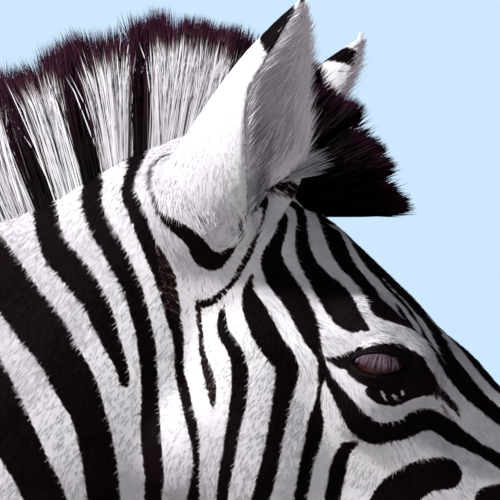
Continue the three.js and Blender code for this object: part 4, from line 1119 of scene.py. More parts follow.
def hair_object(name, finish, paths, widths, out, chart, tint, chance, soft=None):
    """A joined mesh of spikes in one material. At each point it has its share along the hair, its hair's
    chance number and its tint, which is one number, a column of one for each hair, or one for each ring of
    each hair. Its OFBake map holds each hair as a small patch at the chart place of its root. Its normals are
    those of the surface that it covers, turned a little across each hair."""
    rings = paths.shape[1] - 1
    points, faces = spikes(paths, widths, widths * 0.5, out)
    made = mesh_object(name, points, faces)
    made.data.materials.append(finish)
    size = 3 * rings + 1
    soft = out if soft is None else soft
    side = unit(np.cross(paths[:, 1] - paths[:, 0], soft)) * ROUNDNESS
    corners = np.stack([soft - side, soft + side, soft], 1)
    normals = unit(np.concatenate([np.tile(corners, (1, rings, 1)), soft[:, None]], 1).reshape(-1, 3))
    made.data.normals_split_custom_set_from_vertices(normals.astype(np.float32))
    share = np.append(np.repeat(np.arange(rings) / rings, 3), 1)
    set_attribute(made, "along", np.tile(share, len(paths)))
    set_attribute(made, "chance", np.repeat(chance, size))
    tint = np.broadcast_to(tint, (len(paths), rings + 1))
    tint = np.concatenate([np.repeat(tint[:, :rings], 3, axis=1), tint[:, -1:]], 1)
    set_attribute(made, "tint", tint.ravel())
    across = np.append(np.tile([-1, 1, 0], rings), 0) * PATCH / 2
    corner = np.stack([across, (share - 0.5) * PATCH], -1)
    at = np.repeat(chart, size, axis=0) + np.tile(corner, (len(paths), 1))
    uv = made.data.uv_layers.new(name="OFBake")
    uv.data.foreach_set("uv", at[faces.ravel()].astype(np.float32).ravel())
    return made


def unrolled(p, start, end):
    """A chart of points round an axis: the share along it and the turn about it."""
    axis = unit(np.array(end, float) - start)
    d = p - np.array(start, float)
    along = d @ axis / np.linalg.norm(np.array(end, float) - start)
    side = unit(np.cross(axis, [0.31, 0.95, 0.05]))
    other = np.cross(axis, side)
    turn = np.arctan2(d @ other, d @ side) / (2 * math.pi) + 0.5
    return np.clip(np.stack([0.01 + 0.98 * turn, 0.01 + 0.98 * along], -1), PATCH, 1 - PATCH)


def strand_widths(rng, count, low, high, shares):
    """Widths of strands at their rings: a random number of millimetres each, times a share at each ring."""
    return np.array(shares)[None] * rng.uniform(low, high, count)[:, None] * MM


def row_chart(at, roots, paths, wide):
    """A chart of strands off a row: the place along the row, and sideways over a width in metres."""
    chart = np.stack([0.01 + 0.98 * at / (len(roots) - 1), 0.5 + paths[:, 0, 1] / wide], -1)
    return chart.clip(0.005, 0.995)


def scattered(skin, faces, rng, count, density):
    """Random places on some of the skin's triangles, as many per area as a density asks: their points and
    normals."""
    tri = skin.points[faces]
    area = np.linalg.norm(np.cross(tri[:, 1] - tri[:, 0], tri[:, 2] - tri[:, 0]), axis=1) / 2
    weight = np.cumsum(area * density(tri.mean(1)))
    pick = np.searchsorted(weight, rng.random(count) * weight[-1])
    r, s = np.sqrt(rng.random(count)), rng.random(count)
    share = np.stack([1 - r, r * (1 - s), r * s], -1)[..., None]
    return (tri[pick] * share).sum(1), unit((skin.normals[faces[pick]] * share).sum(1))


def region_shares(p):
    """Shares of face, neck and leg at points, from 0 to 1."""
    head = to_head(p) / MM
    face = smooth_step(-30, 60, head[:, 0]) * (p[:, 2] > 1.0) * (p[:, 0] > 0.35)
    neck = smooth_step(0.15, 0.35, p[:, 0]) * smooth_step(0.95, 1.15, p[:, 2])
    return face, neck, smooth_step(0.86, 0.66, p[:, 2])


# Directions of the coat's hair: down the nose, down the cheek, and on trunk, neck and legs.
NOSE_WAY, CHEEK_WAY = head_way(1, 0, 0.05), head_way(-0.15, 0, -1)
TRUNK_WAY, NECK_WAY, LEG_WAY = np.array([[-0.93, 0, -0.35], [-0.62, 0, -0.78], [-0.12, 0, -1.0]])


def coat_way(p, normals):
    """The lie of the coat: down the face, back and down over the cheek and neck, back over the trunk, down
    the legs; laid flat on the skin."""
    head = to_head(p) / MM
    on_head, neck, leg_share = region_shares(p)
    cheek = smooth_step(-60, -120, head[:, 2]) * smooth_step(330, 200, head[:, 0])
    face = NOSE_WAY + (CHEEK_WAY - NOSE_WAY) * cheek[:, None]
    low = leg_share * (np.abs(p[:, 1]) > 0.03)
    body = TRUNK_WAY + (NECK_WAY - TRUNK_WAY) * neck[:, None]
    body = body + (LEG_WAY - body) * low[:, None]
    way = body + (face - body) * on_head[:, None]
    return unit(way - (way * normals).sum(1, keepdims=True) * normals)


# Locks of the standing hair: their size along the row and how ragged they are in millimetres, how much their
# strands close up towards the middle, how much each lock leans, and how many strands stray.
MANE_LOCK = {"size": 8.5, "jitter": 1.2, "close": 0.8, "lean": 0.12, "strays": 0.25}
MANE_SUNK = 26  # how deep the standing hair's strands start under the crest, in millimetres
HAIR_SUNK = 0.6 * MM  # how deep the coat's hairs start under the skin


def standing_hair(rng, roots, count, spread, rings, lean_noise, side_lean, fan=None):
    """Strands off a row of roots: they grow at their root's lean, gather into pointed locks, bend a little,
    and lean along the row by a fan's value at their root. Returns paths, shares of length, and the row's
    place of each strand."""
    table = np.array(roots, float)
    at = rng.random(count) * (len(table) - 1)
    row = np.stack([np.interp(at, np.arange(len(table)), table[:, k]) for k in range(4)], -1)
    row[:, 3] *= bpy.context.scene.zebra_coat.mane_length
    y = rng.normal(0, 0.45, count).clip(-1, 1) * spread
    step = np.hypot(*np.diff(table[:, :2], axis=0).T)
    run = np.interp(at, np.arange(len(table)), np.concatenate([[0], np.cumsum(step)]))
    # Locks: strands lean towards the middle of their lock by a share that grows along the hair.
    jitter = rng.normal(0, MANE_LOCK["jitter"], count)
    lock = np.floor((run + jitter) / MANE_LOCK["size"])
    lock_lean = (np.sin(lock * 12.9898 + 3) * 43758.5453) % 1 - 0.5
    lock_side = (np.sin(lock * 78.233 + 1) * 12543.123) % 1 - 0.5
    toward = ((lock + 0.5) * MANE_LOCK["size"] - run) * MANE_LOCK["close"]
    if fan is not None:
        toward = toward + fan(at) * 9 * rng.uniform(0.4, 1.2, count)
    stray = np.where(rng.random(count) < MANE_LOCK["strays"], 1, 0.25)
    lean = np.radians(row[:, 2]) + rng.normal(0, lean_noise, count) * stray + lock_lean * MANE_LOCK["lean"]
    length = row[:, 3] * (0.90 + 0.17 * rng.random(count) - 0.3 * (rng.random(count) < 0.2))
    length = length * (1 + 0.12 * lock_lean)
    t = 1 - (1 - np.linspace(0, 1, rings + 1)[None]) ** 1.8
    bend = (rng.normal(0, 0.10, count) * stray)[:, None] * t + lean[:, None]
    # No strand leans forward past the foremost root's lean by more than 3 degrees.
    bend = np.maximum(bend, np.radians(table[:, 2].min() - 3))
    radial = -MANE_SUNK + (length[:, None] + MANE_SUNK) * t
    tangent = np.stack([np.cos(np.radians(row[:, 2])), np.sin(np.radians(row[:, 2]))], -1)
    share = np.clip(radial / np.maximum(row[:, 3:4], 1), 0, 1.2)
    x = row[:, 0:1] - np.sin(bend) * radial + tangent[:, 0:1] * toward[:, None] * share**2.2
    z = row[:, 1:2] + np.cos(bend) * radial + tangent[:, 1:2] * toward[:, None] * share**2.2
    y = y[:, None] * (1 - 0.25 * share) + (rng.normal(0, side_lean, count) + lock_side * 5)[:, None] * share
    return np.stack([x, y, z], -1) * MM + SHIFT, share, at


# ---- Materials ----
def add(tree, kind, inputs=None, **settings):
    """A shader node with its settings, and its inputs set or linked."""
    node = tree.nodes.new(kind)
    for key, value in settings.items():
        setattr(node, key, value)
    for key, value in (inputs or {}).items():
        if isinstance(value, bpy.types.NodeSocket):
            tree.links.new(value, node.inputs[key])
        else:
            node.inputs[key].default_value = value
    return node


def group(name, inputs, outputs, build):
    """A shader node group: sockets by name, kind and default, and a function that joins them."""
    tree = bpy.data.node_groups.new(name, "ShaderNodeTree")
    for key, (kind, value) in inputs.items():
        tree.interface.new_socket(key, in_out="INPUT", socket_type=kind).default_value = value
    for key, kind in outputs.items():
        tree.interface.new_socket(key, in_out="OUTPUT", socket_type=kind)
    start, end = tree.nodes.new("NodeGroupInput"), tree.nodes.new("NodeGroupOutput")
    for key, socket in build(tree, start.outputs).items():
        tree.links.new(socket, end.inputs[key])


def material(name, roughness, **constant):
    """A material and its Principled shader, with the shader's own sockets set."""
    made = bpy.data.materials.new(name)
    made.use_nodes = True
    shader = made.node_tree.nodes["Principled BSDF"]
    shader.inputs["Roughness"].default_value = roughness
    for key, value in constant.items():
        shader.inputs[key].default_value = value
    return made, made.node_tree, shader


def calc(tree, operation, *values):
    """A Math node's result."""
    return add(tree, "ShaderNodeMath", dict(enumerate(values)), operation=operation).outputs[0]


def mixed(tree, share, one, two):
    """A colour between two by a share."""
    inputs = {0: share, 6: one, 7: two}
    return add(tree, "ShaderNodeMix", inputs, data_type="RGBA", clamp_factor=True).outputs[2]


def attribute(tree, name):
    """The number that a mesh holds at each point under a name."""
    return add(tree, "ShaderNodeAttribute", attribute_name=name).outputs["Fac"]


def ramp(tree, value, low, high):
    """A share that goes from 0 at low to 1 at high."""
    return add(tree, "ShaderNodeMapRange", {0: value, 1: low, 2: high}, clamp=True).outputs[0]


def noise(tree, vector, scale, detail=3.0):
    """A noise's value."""
    return add(tree, "ShaderNodeTexNoise", {"Vector": vector, "Scale": scale, "Detail": detail}).outputs[0]


def coat_colour(tree, given):
    """White or black by the mark's depth, roughened by a noise at its edge; both vary over the animal and
    from hair to hair. White turns tan near the muzzle; black is a brown or purple black, tan near its edge."""
    place = add(tree, "ShaderNodeTexCoord").outputs["Object"]
    wide = noise(tree, place, 7.0, 2.0)
    fine = noise(tree, place, 60.0, 3.0)
    white = mixed(tree, ramp(tree, wide, 0.35, 0.65), given["White"], given["Shade"])
    white = mixed(tree, calc(tree, "MULTIPLY", fine, 0.35), white, given["Shade"])
    dark = mixed(tree, ramp(tree, wide, 0.4, 0.7), given["Black"], given["Brown"])
    lighter = calc(tree, "MULTIPLY", given["Chance"], 0.28)
    dark = mixed(tree, lighter, dark, given["Brown"])
    edge = calc(tree, "MULTIPLY", ramp(tree, given["Mark"], 0.0011, 0.0), 0.45)
    dark = mixed(tree, edge, dark, given["Tan"])
    dull = calc(tree, "POWER", calc(tree, "SUBTRACT", 1.0, given["Chance"]), 1.6)
    dull = calc(tree, "MULTIPLY", dull, 0.65)
    white = mixed(tree, dull, white, given["Shade"])
    muzzle = tuple(from_head(np.array([520, 0, -55]) * MM))
    far = add(tree, "ShaderNodeVectorMath", {0: place, 1: muzzle}, operation="DISTANCE").outputs["Value"]
    white = mixed(tree, calc(tree, "MULTIPLY", ramp(tree, far, 0.165, 0.095), 0.85), white, given["Tan"])
    mask = ramp(tree, given["Mark"], -0.0004, 0.0004)
    return {"Color": mixed(tree, mask, white, dark), "Mask": mask}


def hair_lie_noise(tree, given):
    """Streaks along the coat: a noise stretched along the nose, along the neck and along the legs, and mixed
    by the two region shares."""
    place = add(tree, "ShaderNodeTexCoord").outputs["Object"]
    streaks = []
    for angle in (HEAD_PITCH, *(math.radians(turn) for turn in (128, 159, 90))):
        turn = (0, angle, 0)
        turned = add(tree, "ShaderNodeVectorRotate", {"Vector": place, "Rotation": turn},
                     rotation_type="EULER_XYZ", invert=True)
        stretched = add(tree, "ShaderNodeVectorMath", {0: turned.outputs[0], 1: (0.2, 1, 1)},
                        operation="MULTIPLY")
        streaks.append(noise(tree, stretched.outputs[0], given["Scale"], 4.0))
    value = streaks[2]
    for streak, share in ((streaks[3], "Leg"), (streaks[1], "Neck"), (streaks[0], "Face")):
        value = add(tree, "ShaderNodeMix", {0: given[share], 2: value, 3: streak}).outputs[0]
    return {"Streak": value}


def build_groups():
    """The node groups that several materials share."""
    colour, number = "NodeSocketColor", "NodeSocketFloat"
    group("Zebra Coat Colour", {
        "Mark": (number, 0.0), "Chance": (number, 0.5), "White": (colour, (0.8, 0.8, 0.8, 1)),
        "Shade": (colour, (0.6, 0.6, 0.6, 1)), "Black": (colour, (0.02, 0.02, 0.02, 1)),
        "Brown": (colour, (0.04, 0.03, 0.02, 1)), "Tan": (colour, (0.2, 0.1, 0.05, 1)),
    }, {"Color": colour, "Mask": number}, coat_colour)
    group("Zebra Hair Lie", {
        "Scale": (number, 300.0), "Face": (number, 0.0), "Neck": (number, 0.0), "Leg": (number, 0.0),
    }, {"Streak": number}, hair_lie_noise)


def use_group(tree, name, **inputs):
    """The outputs of a shared group, placed with its inputs set or linked."""
    return add(tree, "ShaderNodeGroup", inputs, node_tree=bpy.data.node_groups[name]).outputs


def colours():
    """The coat colours of the panel, as the group's inputs."""
    kit = bpy.context.scene.zebra_coat
    return {"White": (*kit.white, 1), "Shade": (*kit.shade, 1), "Black": (*kit.black, 1),
            "Brown": (*kit.brown, 1), "Tan": (*kit.tan, 1)}


def skin_material():
    """The coat's colours on the skin, roughened along the hair's lie, with damp bare skin and fine pores."""
    made, tree, shader = material("short_coat_skin", 0.7, **{"Specular IOR Level": 0.025})
    streak = use_group(tree, "Zebra Hair Lie", Scale=900.0, Face=attribute(tree, "face"),
                       Neck=attribute(tree, "neck"), Leg=attribute(tree, "leg"))["Streak"]
    ragged = calc(tree, "MULTIPLY", calc(tree, "SUBTRACT", streak, 0.5), attribute(tree, "rag"))
    mark = calc(tree, "ADD", attribute(tree, "mark"), ragged)
    coat = use_group(tree, "Zebra Coat Colour", Mark=mark, Chance=streak, **colours())
    kit = bpy.context.scene.zebra_coat
    bare = attribute(tree, "bare")
    tree.links.new(mixed(tree, bare, coat["Color"], (*kit.bare, 1)), shader.inputs["Base Color"])
    wet = calc(tree, "MULTIPLY", bare, 0.25)
    tree.links.new(calc(tree, "SUBTRACT", 0.7, wet), shader.inputs["Roughness"])
    pores = noise(tree, add(tree, "ShaderNodeTexCoord").outputs["Object"], 700.0, 3.0)
    height = calc(tree, "ADD", calc(tree, "MULTIPLY", streak, calc(tree, "SUBTRACT", 1.0, bare)),
                  calc(tree, "MULTIPLY", pores, bare))
    bump = add(tree, "ShaderNodeBump", {"Height": height, "Strength": 0.6, "Distance": 0.0007})
    tree.links.new(bump.outputs[0], shader.inputs["Normal"])
    return made


def hair_material(name, roughness, painted_sunlight_from=1.0, **constant):
    """Hair: its mark is the tint attribute in metres from the edge of the black. Each hair is painted darker
    towards its root, as shade deep in the coat. From a share of their length on, black hairs turn red brown:
    painted sunlight glowing through them."""
    made, tree, shader = material(name, roughness, **{"Specular IOR Level": 0.02}, **constant)
    chance = attribute(tree, "chance")
    coat = use_group(tree, "Zebra Coat Colour", Mark=attribute(tree, "tint"), Chance=chance, **colours())
    # Painted shade: each hair turns darker towards its root, where it lies deep in the coat.
    root = calc(tree, "SUBTRACT", 1.0, ramp(tree, attribute(tree, "along"), 0.0, 0.6))
    root = calc(tree, "MULTIPLY", root, 0.2)
    deep = mixed(tree, root, coat["Color"], (0.0, 0.0, 0.0, 1))
    if painted_sunlight_from < 1:
        # Painted light: from this share of their length on, black hairs turn red brown, as sunlight glowing
        # through them.
        end = calc(tree, "MULTIPLY", ramp(tree, attribute(tree, "along"), painted_sunlight_from, 1.0), coat["Mask"])
        deep = mixed(tree, calc(tree, "MULTIPLY", end, chance), deep, (0.06, 0.009, 0.032, 1))
    tree.links.new(deep, shader.inputs["Base Color"])
    return made


# ---- Sizes and colours of the panel ----
class CoatSettings(bpy.types.PropertyGroup):
    """Sizes of the hair and colours of the coat."""

    coat_length: bpy.props.FloatProperty(
        name="Coat Length", description="Length of the short hair, as a share of the usual", subtype="FACTOR",
        default=1, min=0.2, max=3)
    coat_width: bpy.props.FloatProperty(
        name="Coat Width", description="Width of the short hair, as a share of the usual", subtype="FACTOR",
        default=1, min=0.2, max=3)
    mane_length: bpy.props.FloatProperty(
        name="Mane Length", description="Length of the mane and forelock, as a share of the usual",
        subtype="FACTOR", default=1, min=0.2, max=2)
    whisker_length: bpy.props.FloatProperty(
        name="Whisker Length", description="Length of the whiskers, as a share of the usual",
        subtype="FACTOR", default=1, min=0, max=3)
    white: bpy.props.FloatVectorProperty(
        name="White", description="Hair between the stripes in full light", subtype="COLOR",
        default=(0.84, 0.825, 0.825), min=0, max=1)
    shade: bpy.props.FloatVectorProperty(
        name="Shaded White", description="Duller hair between the stripes", subtype="COLOR",
        default=(0.46, 0.435, 0.475), min=0, max=1)
    black: bpy.props.FloatVectorProperty(
        name="Black", description="Hair of the stripes", subtype="COLOR", default=(0.0012, 0.0005, 0.0012),
        min=0, max=1)
    brown: bpy.props.FloatVectorProperty(
        name="Brown Black", description="Stripe hair that the sun has faded", subtype="COLOR",
        default=(0.0052, 0.0018, 0.0034), min=0, max=1)
    tan: bpy.props.FloatVectorProperty(
        name="Tan", description="Brown hair by the stripes' edges and above the muzzle", subtype="COLOR",
        default=(0.15, 0.085, 0.07), min=0, max=1)
    bare: bpy.props.FloatVectorProperty(
        name="Bare Skin", description="Skin of the lids, lips and nostrils", subtype="COLOR",
        default=(0.0036, 0.0016, 0.0028), min=0, max=1)


class StageSettings(bpy.types.PropertyGroup):
    """The floor, the sky and the lights."""

    floor: bpy.props.FloatVectorProperty(
        name="Floor", description="Colour of the floor", subtype="COLOR", default=(0.56, 0.55, 0.53),
        min=0, max=1)
    floor_half: bpy.props.FloatProperty(
        name="Floor Half Size", description="Half the side of the square floor", unit="LENGTH", default=40,
        min=1)
    sky: bpy.props.FloatVectorProperty(
        name="Sky", description="Colour of the plain backdrop", subtype="COLOR",
        default=(0.617, 0.807, 1.0), min=0, max=1)
    haze: bpy.props.FloatVectorProperty(
        name="Haze", description="Colour of the light from all round", subtype="COLOR",
        default=(0.84, 0.87, 1.0), min=0, max=1)
    sky_strength: bpy.props.FloatProperty(
        name="Sky Strength", description="Strength of the soft light all round", default=0.26, min=0, max=5)
    key: bpy.props.FloatProperty(
        name="Key Light", description="Power of the light from the upper left", unit="POWER",
        default=690, min=0)
    key_size: bpy.props.FloatProperty(
        name="Key Size", description="Side of the lamp at the upper left", unit="LENGTH", default=0.7,
        min=0.01)
    fill: bpy.props.FloatProperty(
        name="Fill Light", description="Power of the light from the right", unit="POWER", default=15, min=0)
    fill_size: bpy.props.FloatProperty(
        name="Fill Size", description="Side of the lamp at the right", unit="LENGTH", default=2, min=0.01)


# ---- Pieces ----
WORK = {}  # the skin, its markings and the coat's material, made by the first operators for the others
LEG_PARTS = {"fore": ("forearm", "cannon", "pastern"), "hind": ("thigh", "gaskin", "cannon", "pastern")}
LEG_NODES = [f"{end}_{side}_{part}" for end, parts in LEG_PARTS.items() for side in ("right", "left")
             for part in parts]


def bare_share(p, mark):
    """Where the skin shows: the black patch round the eye, lips and nostrils."""
    head = to_head(p) / MM
    head[:, 1] = np.abs(head[:, 1])
    eye = np.minimum(*(np.linalg.norm(p - EYES[side], axis=1) for side in (-1, 1)))
    bare = smooth_step(0.040, 0.030, eye) * smooth_step(-0.0003, 0.0012, mark)
    nostril = np.linalg.norm(head - [488, 38, -52], axis=1)
    bare = np.maximum(bare, smooth_step(34, 20, nostril))
    lips = np.linalg.norm((head - [510, 10, -100]) * [1, 0.7, 1], axis=1)
    bare = np.maximum(bare, smooth_step(34, 20, lips))
    return bare


EAR_BAND_TOP = {-1: 0.95, 1: 0.91}  # where each ear's white tip begins, as a share of its length


def ear_foot_mark(marks, p, along):
    """The stripes' value over the foot of an ear, which ends a third of the way up."""
    return marks.at(p) + NO_MARK * smooth_step(0.25, 0.4, along)


def ear_mark(side, along, across):
    """The mark on the back of an ear: a thin dark line down the outer rim, and a dark band below the white
    tip that comes lower in the middle of the back."""
    outer = across * side
    top = EAR_BAND_TOP[side]
    rim = (outer - 0.985) * 0.05 - 0.0006
    rim = np.minimum(rim, np.minimum(along - 0.1, top - along) * 0.16)
    band = np.minimum(along - 0.785 + 0.04 * outer, top - along) * 0.16
    strip = np.minimum(np.minimum(along - 0.6, top - along) * 0.16,
                       (0.9 * (along - 0.52) - np.abs(outer - 0.05)) * 0.04)
    return np.maximum(np.maximum(rim, band), strip)


def ear_attributes(marks):
    """The marks and bareness at both ears' points: the stripes run on over the foot of the back, and the skin
    deep inside is dark."""
    along, across = ear_grid()
    values = []
    for side in (-1, 1):
        place = ear_point(side, along, across, 1.0).reshape(-1, 3)
        foot = ear_foot_mark(marks, place, along.ravel()).reshape(along.shape)
        back = np.maximum(ear_mark(side, along, across), foot)
        inner = np.where(along < 0.1, foot, np.minimum((0.25 - along) * 0.05, 0.0006))
        deep = smooth_step(0.5, 0.2, along) * smooth_step(0.9, 0.3, np.abs(across)) * (along > 0.1)
        mark = np.append(np.concatenate([back, inner], 1).ravel(), [WHITE_HAIR] * 2)
        bare = np.append(np.concatenate([0 * deep, deep], 1).ravel(), [0, 0])
        values.append(np.stack([mark, bare]))
    return np.concatenate(values, 1)


class ZEBRA_OT_skin(bpy.types.Operator):
    """Makes the skin, with its stripes"""

    bl_idname = "zebra.skin"
    bl_label = "Skin"

    def execute(self, context):
        skin = WORK["skin"] = Skin()
        marks = WORK["marks"] = Markings(skin)
        made = mesh_object("skin", skin.points, skin.faces)
        body = skin.points[:skin.body_points]
        body_mark = marks.at(body)
        ear_marks, ear_bare = ear_attributes(marks)
        bare = np.append(bare_share(body, body_mark), ear_bare)
        face, neck, leg_share = region_shares(skin.points)
        values = {"mark": np.append(body_mark, ear_marks), "bare": bare, "face": face, "neck": neck,
                  "leg": leg_share, "rag": (0.007 - 0.003 * face) * (1 - bare)}
        for name, value in values.items():
            set_attribute(made, name, value)
        made.data.materials.append(skin_material())
        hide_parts("trunk", "neck", "head", "muzzle", "tail_dock", "ear_right", "ear_left", *LEG_NODES)
        return {"FINISHED"}


def eye_material():
    """A dark eye under a thin wet coat."""
    return material("wet_dark_eye", 0.2, **{
        "Coat Weight": 0.4, "Coat Roughness": 0.02, "Coat IOR": 1.33, "Specular IOR Level": 0.05,
        "Base Color": (0.028, 0.0045, 0.003, 1)})[0]


class ZEBRA_OT_eyes(bpy.types.Operator):
    """Makes both eyeballs"""

    bl_idname = "zebra.eyes"
    bl_label = "Eyes"

    def execute(self, context):
        shine = eye_material()
        turn, rise = np.meshgrid(np.linspace(0, 2 * math.pi, 48, endpoint=False),
                                 np.linspace(-1.5, 1.5, 25), indexing="ij")
        ball = np.stack([np.cos(turn) * np.cos(rise), np.sin(turn) * np.cos(rise), np.sin(rise)], -1)
        rings = ball.transpose(1, 0, 2) * (EYE_RADIUS - 0.8 * MM)
        faces = ring_faces(len(rings), rings.shape[1])
        for side in (-1, 1):
            points = ring_points(rings) + EYES[side]
            made = mesh_object(f"eyeball_{SIDE_NAMES[side]}", points, turned_out(points, faces))
            made.data.materials.append(shine)
            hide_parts(f"eye_{SIDE_NAMES[side]}")
        return {"FINISHED"}


HOOF = {"length": 56, "width": 43, "top_length": 38, "top_width": 33, "forward": 24, "square": 2.6,
        "heel": 0.88, "top": 74, "tilt": math.radians(20)}
# The rounded lower edge: shares of the height, and how far the wall stands out there in millimetres.
HOOF_EDGE = ([0, 0.012, 0.03, 0.06], [-3.5, -1.5, -0.4, 0.0])
HOOF_SIDES = 48
# Each pair of hooves: x, y, scale and the steps of its legs.
HOOVES = {"fore": (460, 102, 1, FRONT_STEP), "hind": (-564, 106, 0.95, HIND_STEP)}


def hoof_material():
    """Dark horn with growth rings, upright grain and dust."""
    made, tree, shader = material("dark_horn", 0.42, **{"Specular IOR Level": 0.4})
    place = add(tree, "ShaderNodeTexCoord").outputs["Object"]
    level = add(tree, "ShaderNodeVectorMath", {0: place, 1: (6, 6, 150)}, operation="MULTIPLY").outputs[0]
    rings = noise(tree, level, 1.0, 2.0)
    grain = noise(tree, add(tree, "ShaderNodeVectorMath", {0: place, 1: (900, 900, 60)},
                            operation="MULTIPLY").outputs[0], 1.0, 2.0)
    tone = mixed(tree, rings, (0.030, 0.026, 0.024, 1), (0.085, 0.072, 0.060, 1))
    dust = ramp(tree, noise(tree, place, 45.0), 0.45, 0.75)
    dusty = mixed(tree, calc(tree, "MULTIPLY", dust, 0.4), tone, (0.16, 0.135, 0.11, 1))
    tree.links.new(dusty, shader.inputs["Base Color"])
    height = calc(tree, "ADD", rings, calc(tree, "MULTIPLY", grain, 0.3))
    bump = add(tree, "ShaderNodeBump", {"Height": height, "Strength": 0.7, "Distance": 0.0012})
    tree.links.new(bump.outputs[0], shader.inputs["Normal"])
    return made


class ZEBRA_OT_hooves(bpy.types.Operator):
    """Makes the four hooves"""

    bl_idname = "zebra.hooves"
    bl_label = "Hooves"

    def execute(self, context):
        horn = hoof_material()
        t = np.array([*HOOF_EDGE[0], *np.linspace(0.1, 0.94, 20), 0.98, 1.0])[:, None]
        grow = np.interp(t, *HOOF_EDGE) + 0.35 * np.sin(t * 46) * smooth_step(0.1, 0.3, t)
        turn = (np.arange(HOOF_SIDES) + 0.5)[None] * (2 * math.pi / HOOF_SIDES)
        c, s = np.cos(turn), np.sin(turn)
        square = (np.abs(c) ** HOOF["square"] + np.abs(s) ** HOOF["square"]) ** (-1 / HOOF["square"])
        for end, (x, y, scale, steps) in HOOVES.items():
            long = (HOOF["length"] + (HOOF["top_length"] - HOOF["length"]) * t + grow) * scale
            wide = (HOOF["width"] + (HOOF["top_width"] - HOOF["width"]) * t + grow) * scale
            forward = np.where(c > 0, long * c, long * HOOF["heel"] * c * square)
            height = (HOOF["top"] + forward * math.tan(HOOF["tilt"])) * t
            for side in (-1, 1):
                middle = x + steps[side] * (1 - HOOF["top"] / LEG_TOP) + HOOF["forward"] * (1 - t)
                rings = np.stack([middle + forward, side * y + wide * s * square, height], -1) * MM + SHIFT
                rings[..., 2] -= SHIFT[2]
                points = ring_points(rings)
                name = f"{end}_{SIDE_NAMES[side]}"
                faces = turned_out(points, ring_faces(*rings.shape[:2]))
                made = mesh_object(f"horn_{name}", points, faces)
                made.data.materials.append(horn)
                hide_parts(f"{name}_hoof")
        return {"FINISHED"}


def mane_tint(marks, rng, roots, at, share, dark_from):
    """The mark along mane hairs: the stripe at the hair's root, then dark from near the tip on."""
    mark = crest_mark(marks, roots, at, 8 + 8 * rng.random(len(at)))[:, None]
    mark = mark + rng.normal(0, 0.0010, len(at))[:, None]
    return np.maximum(mark, (share - dark_from[:, None]) * 0.008)


def mane_out(rng, paths):
    """The way a standing hair faces: to its own side of the mane, and a little up."""
    count = len(paths)
    side = np.clip(paths[:, -1, 1] / 0.008, -1, 1)
    side = np.where(np.abs(side) < 0.4, 0.4 * np.sign(side + 1e-9), side)
    return unit(np.stack([rng.normal(-0.15, 0.2, count), side, rng.normal(0.3, 0.15, count)], -1))


def crest_mark(marks, roots, at, below):
    """The marking's value on the neck a little below a row of mane roots."""
    table = np.array(roots, float)
    x, z, lean = (np.interp(at, np.arange(len(table)), table[:, k]) for k in range(3))
    x = x + np.sin(np.radians(lean)) * below
    z = z - np.cos(np.radians(lean)) * below
    return marks.at(np.stack([x, np.full(len(at), -22), z], -1) * MM + SHIFT)


class ZEBRA_OT_mane(bpy.types.Operator):
    """Makes the standing mane and the forelock"""

    bl_idname = "zebra.mane"
    bl_label = "Mane"

    def execute(self, context):
        marks, finish = WORK["marks"], hair_material("mane_hair", 0.55, painted_sunlight_from=0.2)

        def fan(at):
            """Hairs of a white lock spread over the black ones beside it, and black ones close up."""
            near, step = 12.0, 0.04
            ahead, behind = (crest_mark(marks, MANE_ROOTS, at + move, near) for move in (step, -step))
            return np.clip((ahead - behind) / 0.003, -1, 1)

        for name, seed, count, rings in (("mane_inner", 3, 15000, 2), ("mane_outer", 5, 12000, 3)):
            rng = np.random.default_rng(seed)
            paths, share, at = standing_hair(rng, MANE_ROOTS, count, 19, rings, 0.075, 5, fan)
            dark_from = rng.normal(0.75, 0.05, count)
            tint = mane_tint(marks, rng, MANE_ROOTS, at, share, dark_from)
            out = mane_out(rng, paths)
            widths = strand_widths(rng, count, 0.6, 1.1, (1.0, 1.0, 0.8)[3 - rings:])
            chart = row_chart(at, MANE_ROOTS, paths, 0.06)
            made = hair_object(name, finish, paths, widths, out, chart, tint, rng.random(count))
            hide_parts("mane")
        rng = np.random.default_rng(9)
        count = 7000
        paths, _, at = standing_hair(rng, FORELOCK_ROOTS, count, 22, 3, 0.08, 5)
        out = mane_out(rng, paths)
        widths = strand_widths(rng, count, 0.9, 1.6, (1.0, 1.0, 0.75))
        chart = row_chart(at, FORELOCK_ROOTS, paths, 0.07)
        finish = hair_material("forelock_hair", 0.55, painted_sunlight_from=0.7)
        made = hair_object("forelock_hair", finish, paths, widths, out, chart, BLACK_HAIR,
                           rng.random(count))
        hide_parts("forelock")
        return {"FINISHED"}


class ZEBRA_OT_tail(bpy.types.Operator):
    """Makes the tail's tuft"""

    bl_idname = "zebra.tail"
    bl_label = "Tail Tuft"

    def execute(self, context):
        rng = np.random.default_rng(21)
        count, rings = 4400, 4
        x, z, deep, wide = np.array(TUFT_RINGS, float).T
        share = np.linspace(0, 1, rings + 1)[None]
        start = rng.uniform(760, 880, count) - 90 * rng.random(count) ** 2
        end = z[-1] + 330 * rng.random(count) ** 2.2
        height = start[:, None] + (end - start)[:, None] * share
        turn = rng.uniform(0, 2 * math.pi, count)[:, None] + rng.normal(0, 0.25, count)[:, None] * share
        middle, depth, width = (np.interp(-height, -z, column) for column in (x, deep, wide))
        ride = rng.uniform(0.35, 1.0, count)[:, None] ** 0.6
        lift = smooth_step(0, 0.25, share) * (ride - 0.8) + 0.8
        path = [middle + depth * lift * np.cos(turn), width * lift * np.sin(turn), height]
        paths = np.stack(path, -1) * MM + SHIFT
        out = np.stack([np.cos(turn[:, 0]), np.sin(turn[:, 0]), np.zeros(count)], -1)
        widths = strand_widths(rng, count, 1.6, 3.2, (0.8, 1.0, 1.0, 0.8))
        chart = unrolled(paths[:, 1], (-0.93, 0, 0.9), (-0.93, 0, 0.6))
        finish = hair_material("tail_hair", 0.5)
        made = hair_object("tail_hair", finish, paths, widths, out, chart, BLACK_HAIR,
                           rng.random(count))
        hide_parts("tail_tuft")
        return {"FINISHED"}


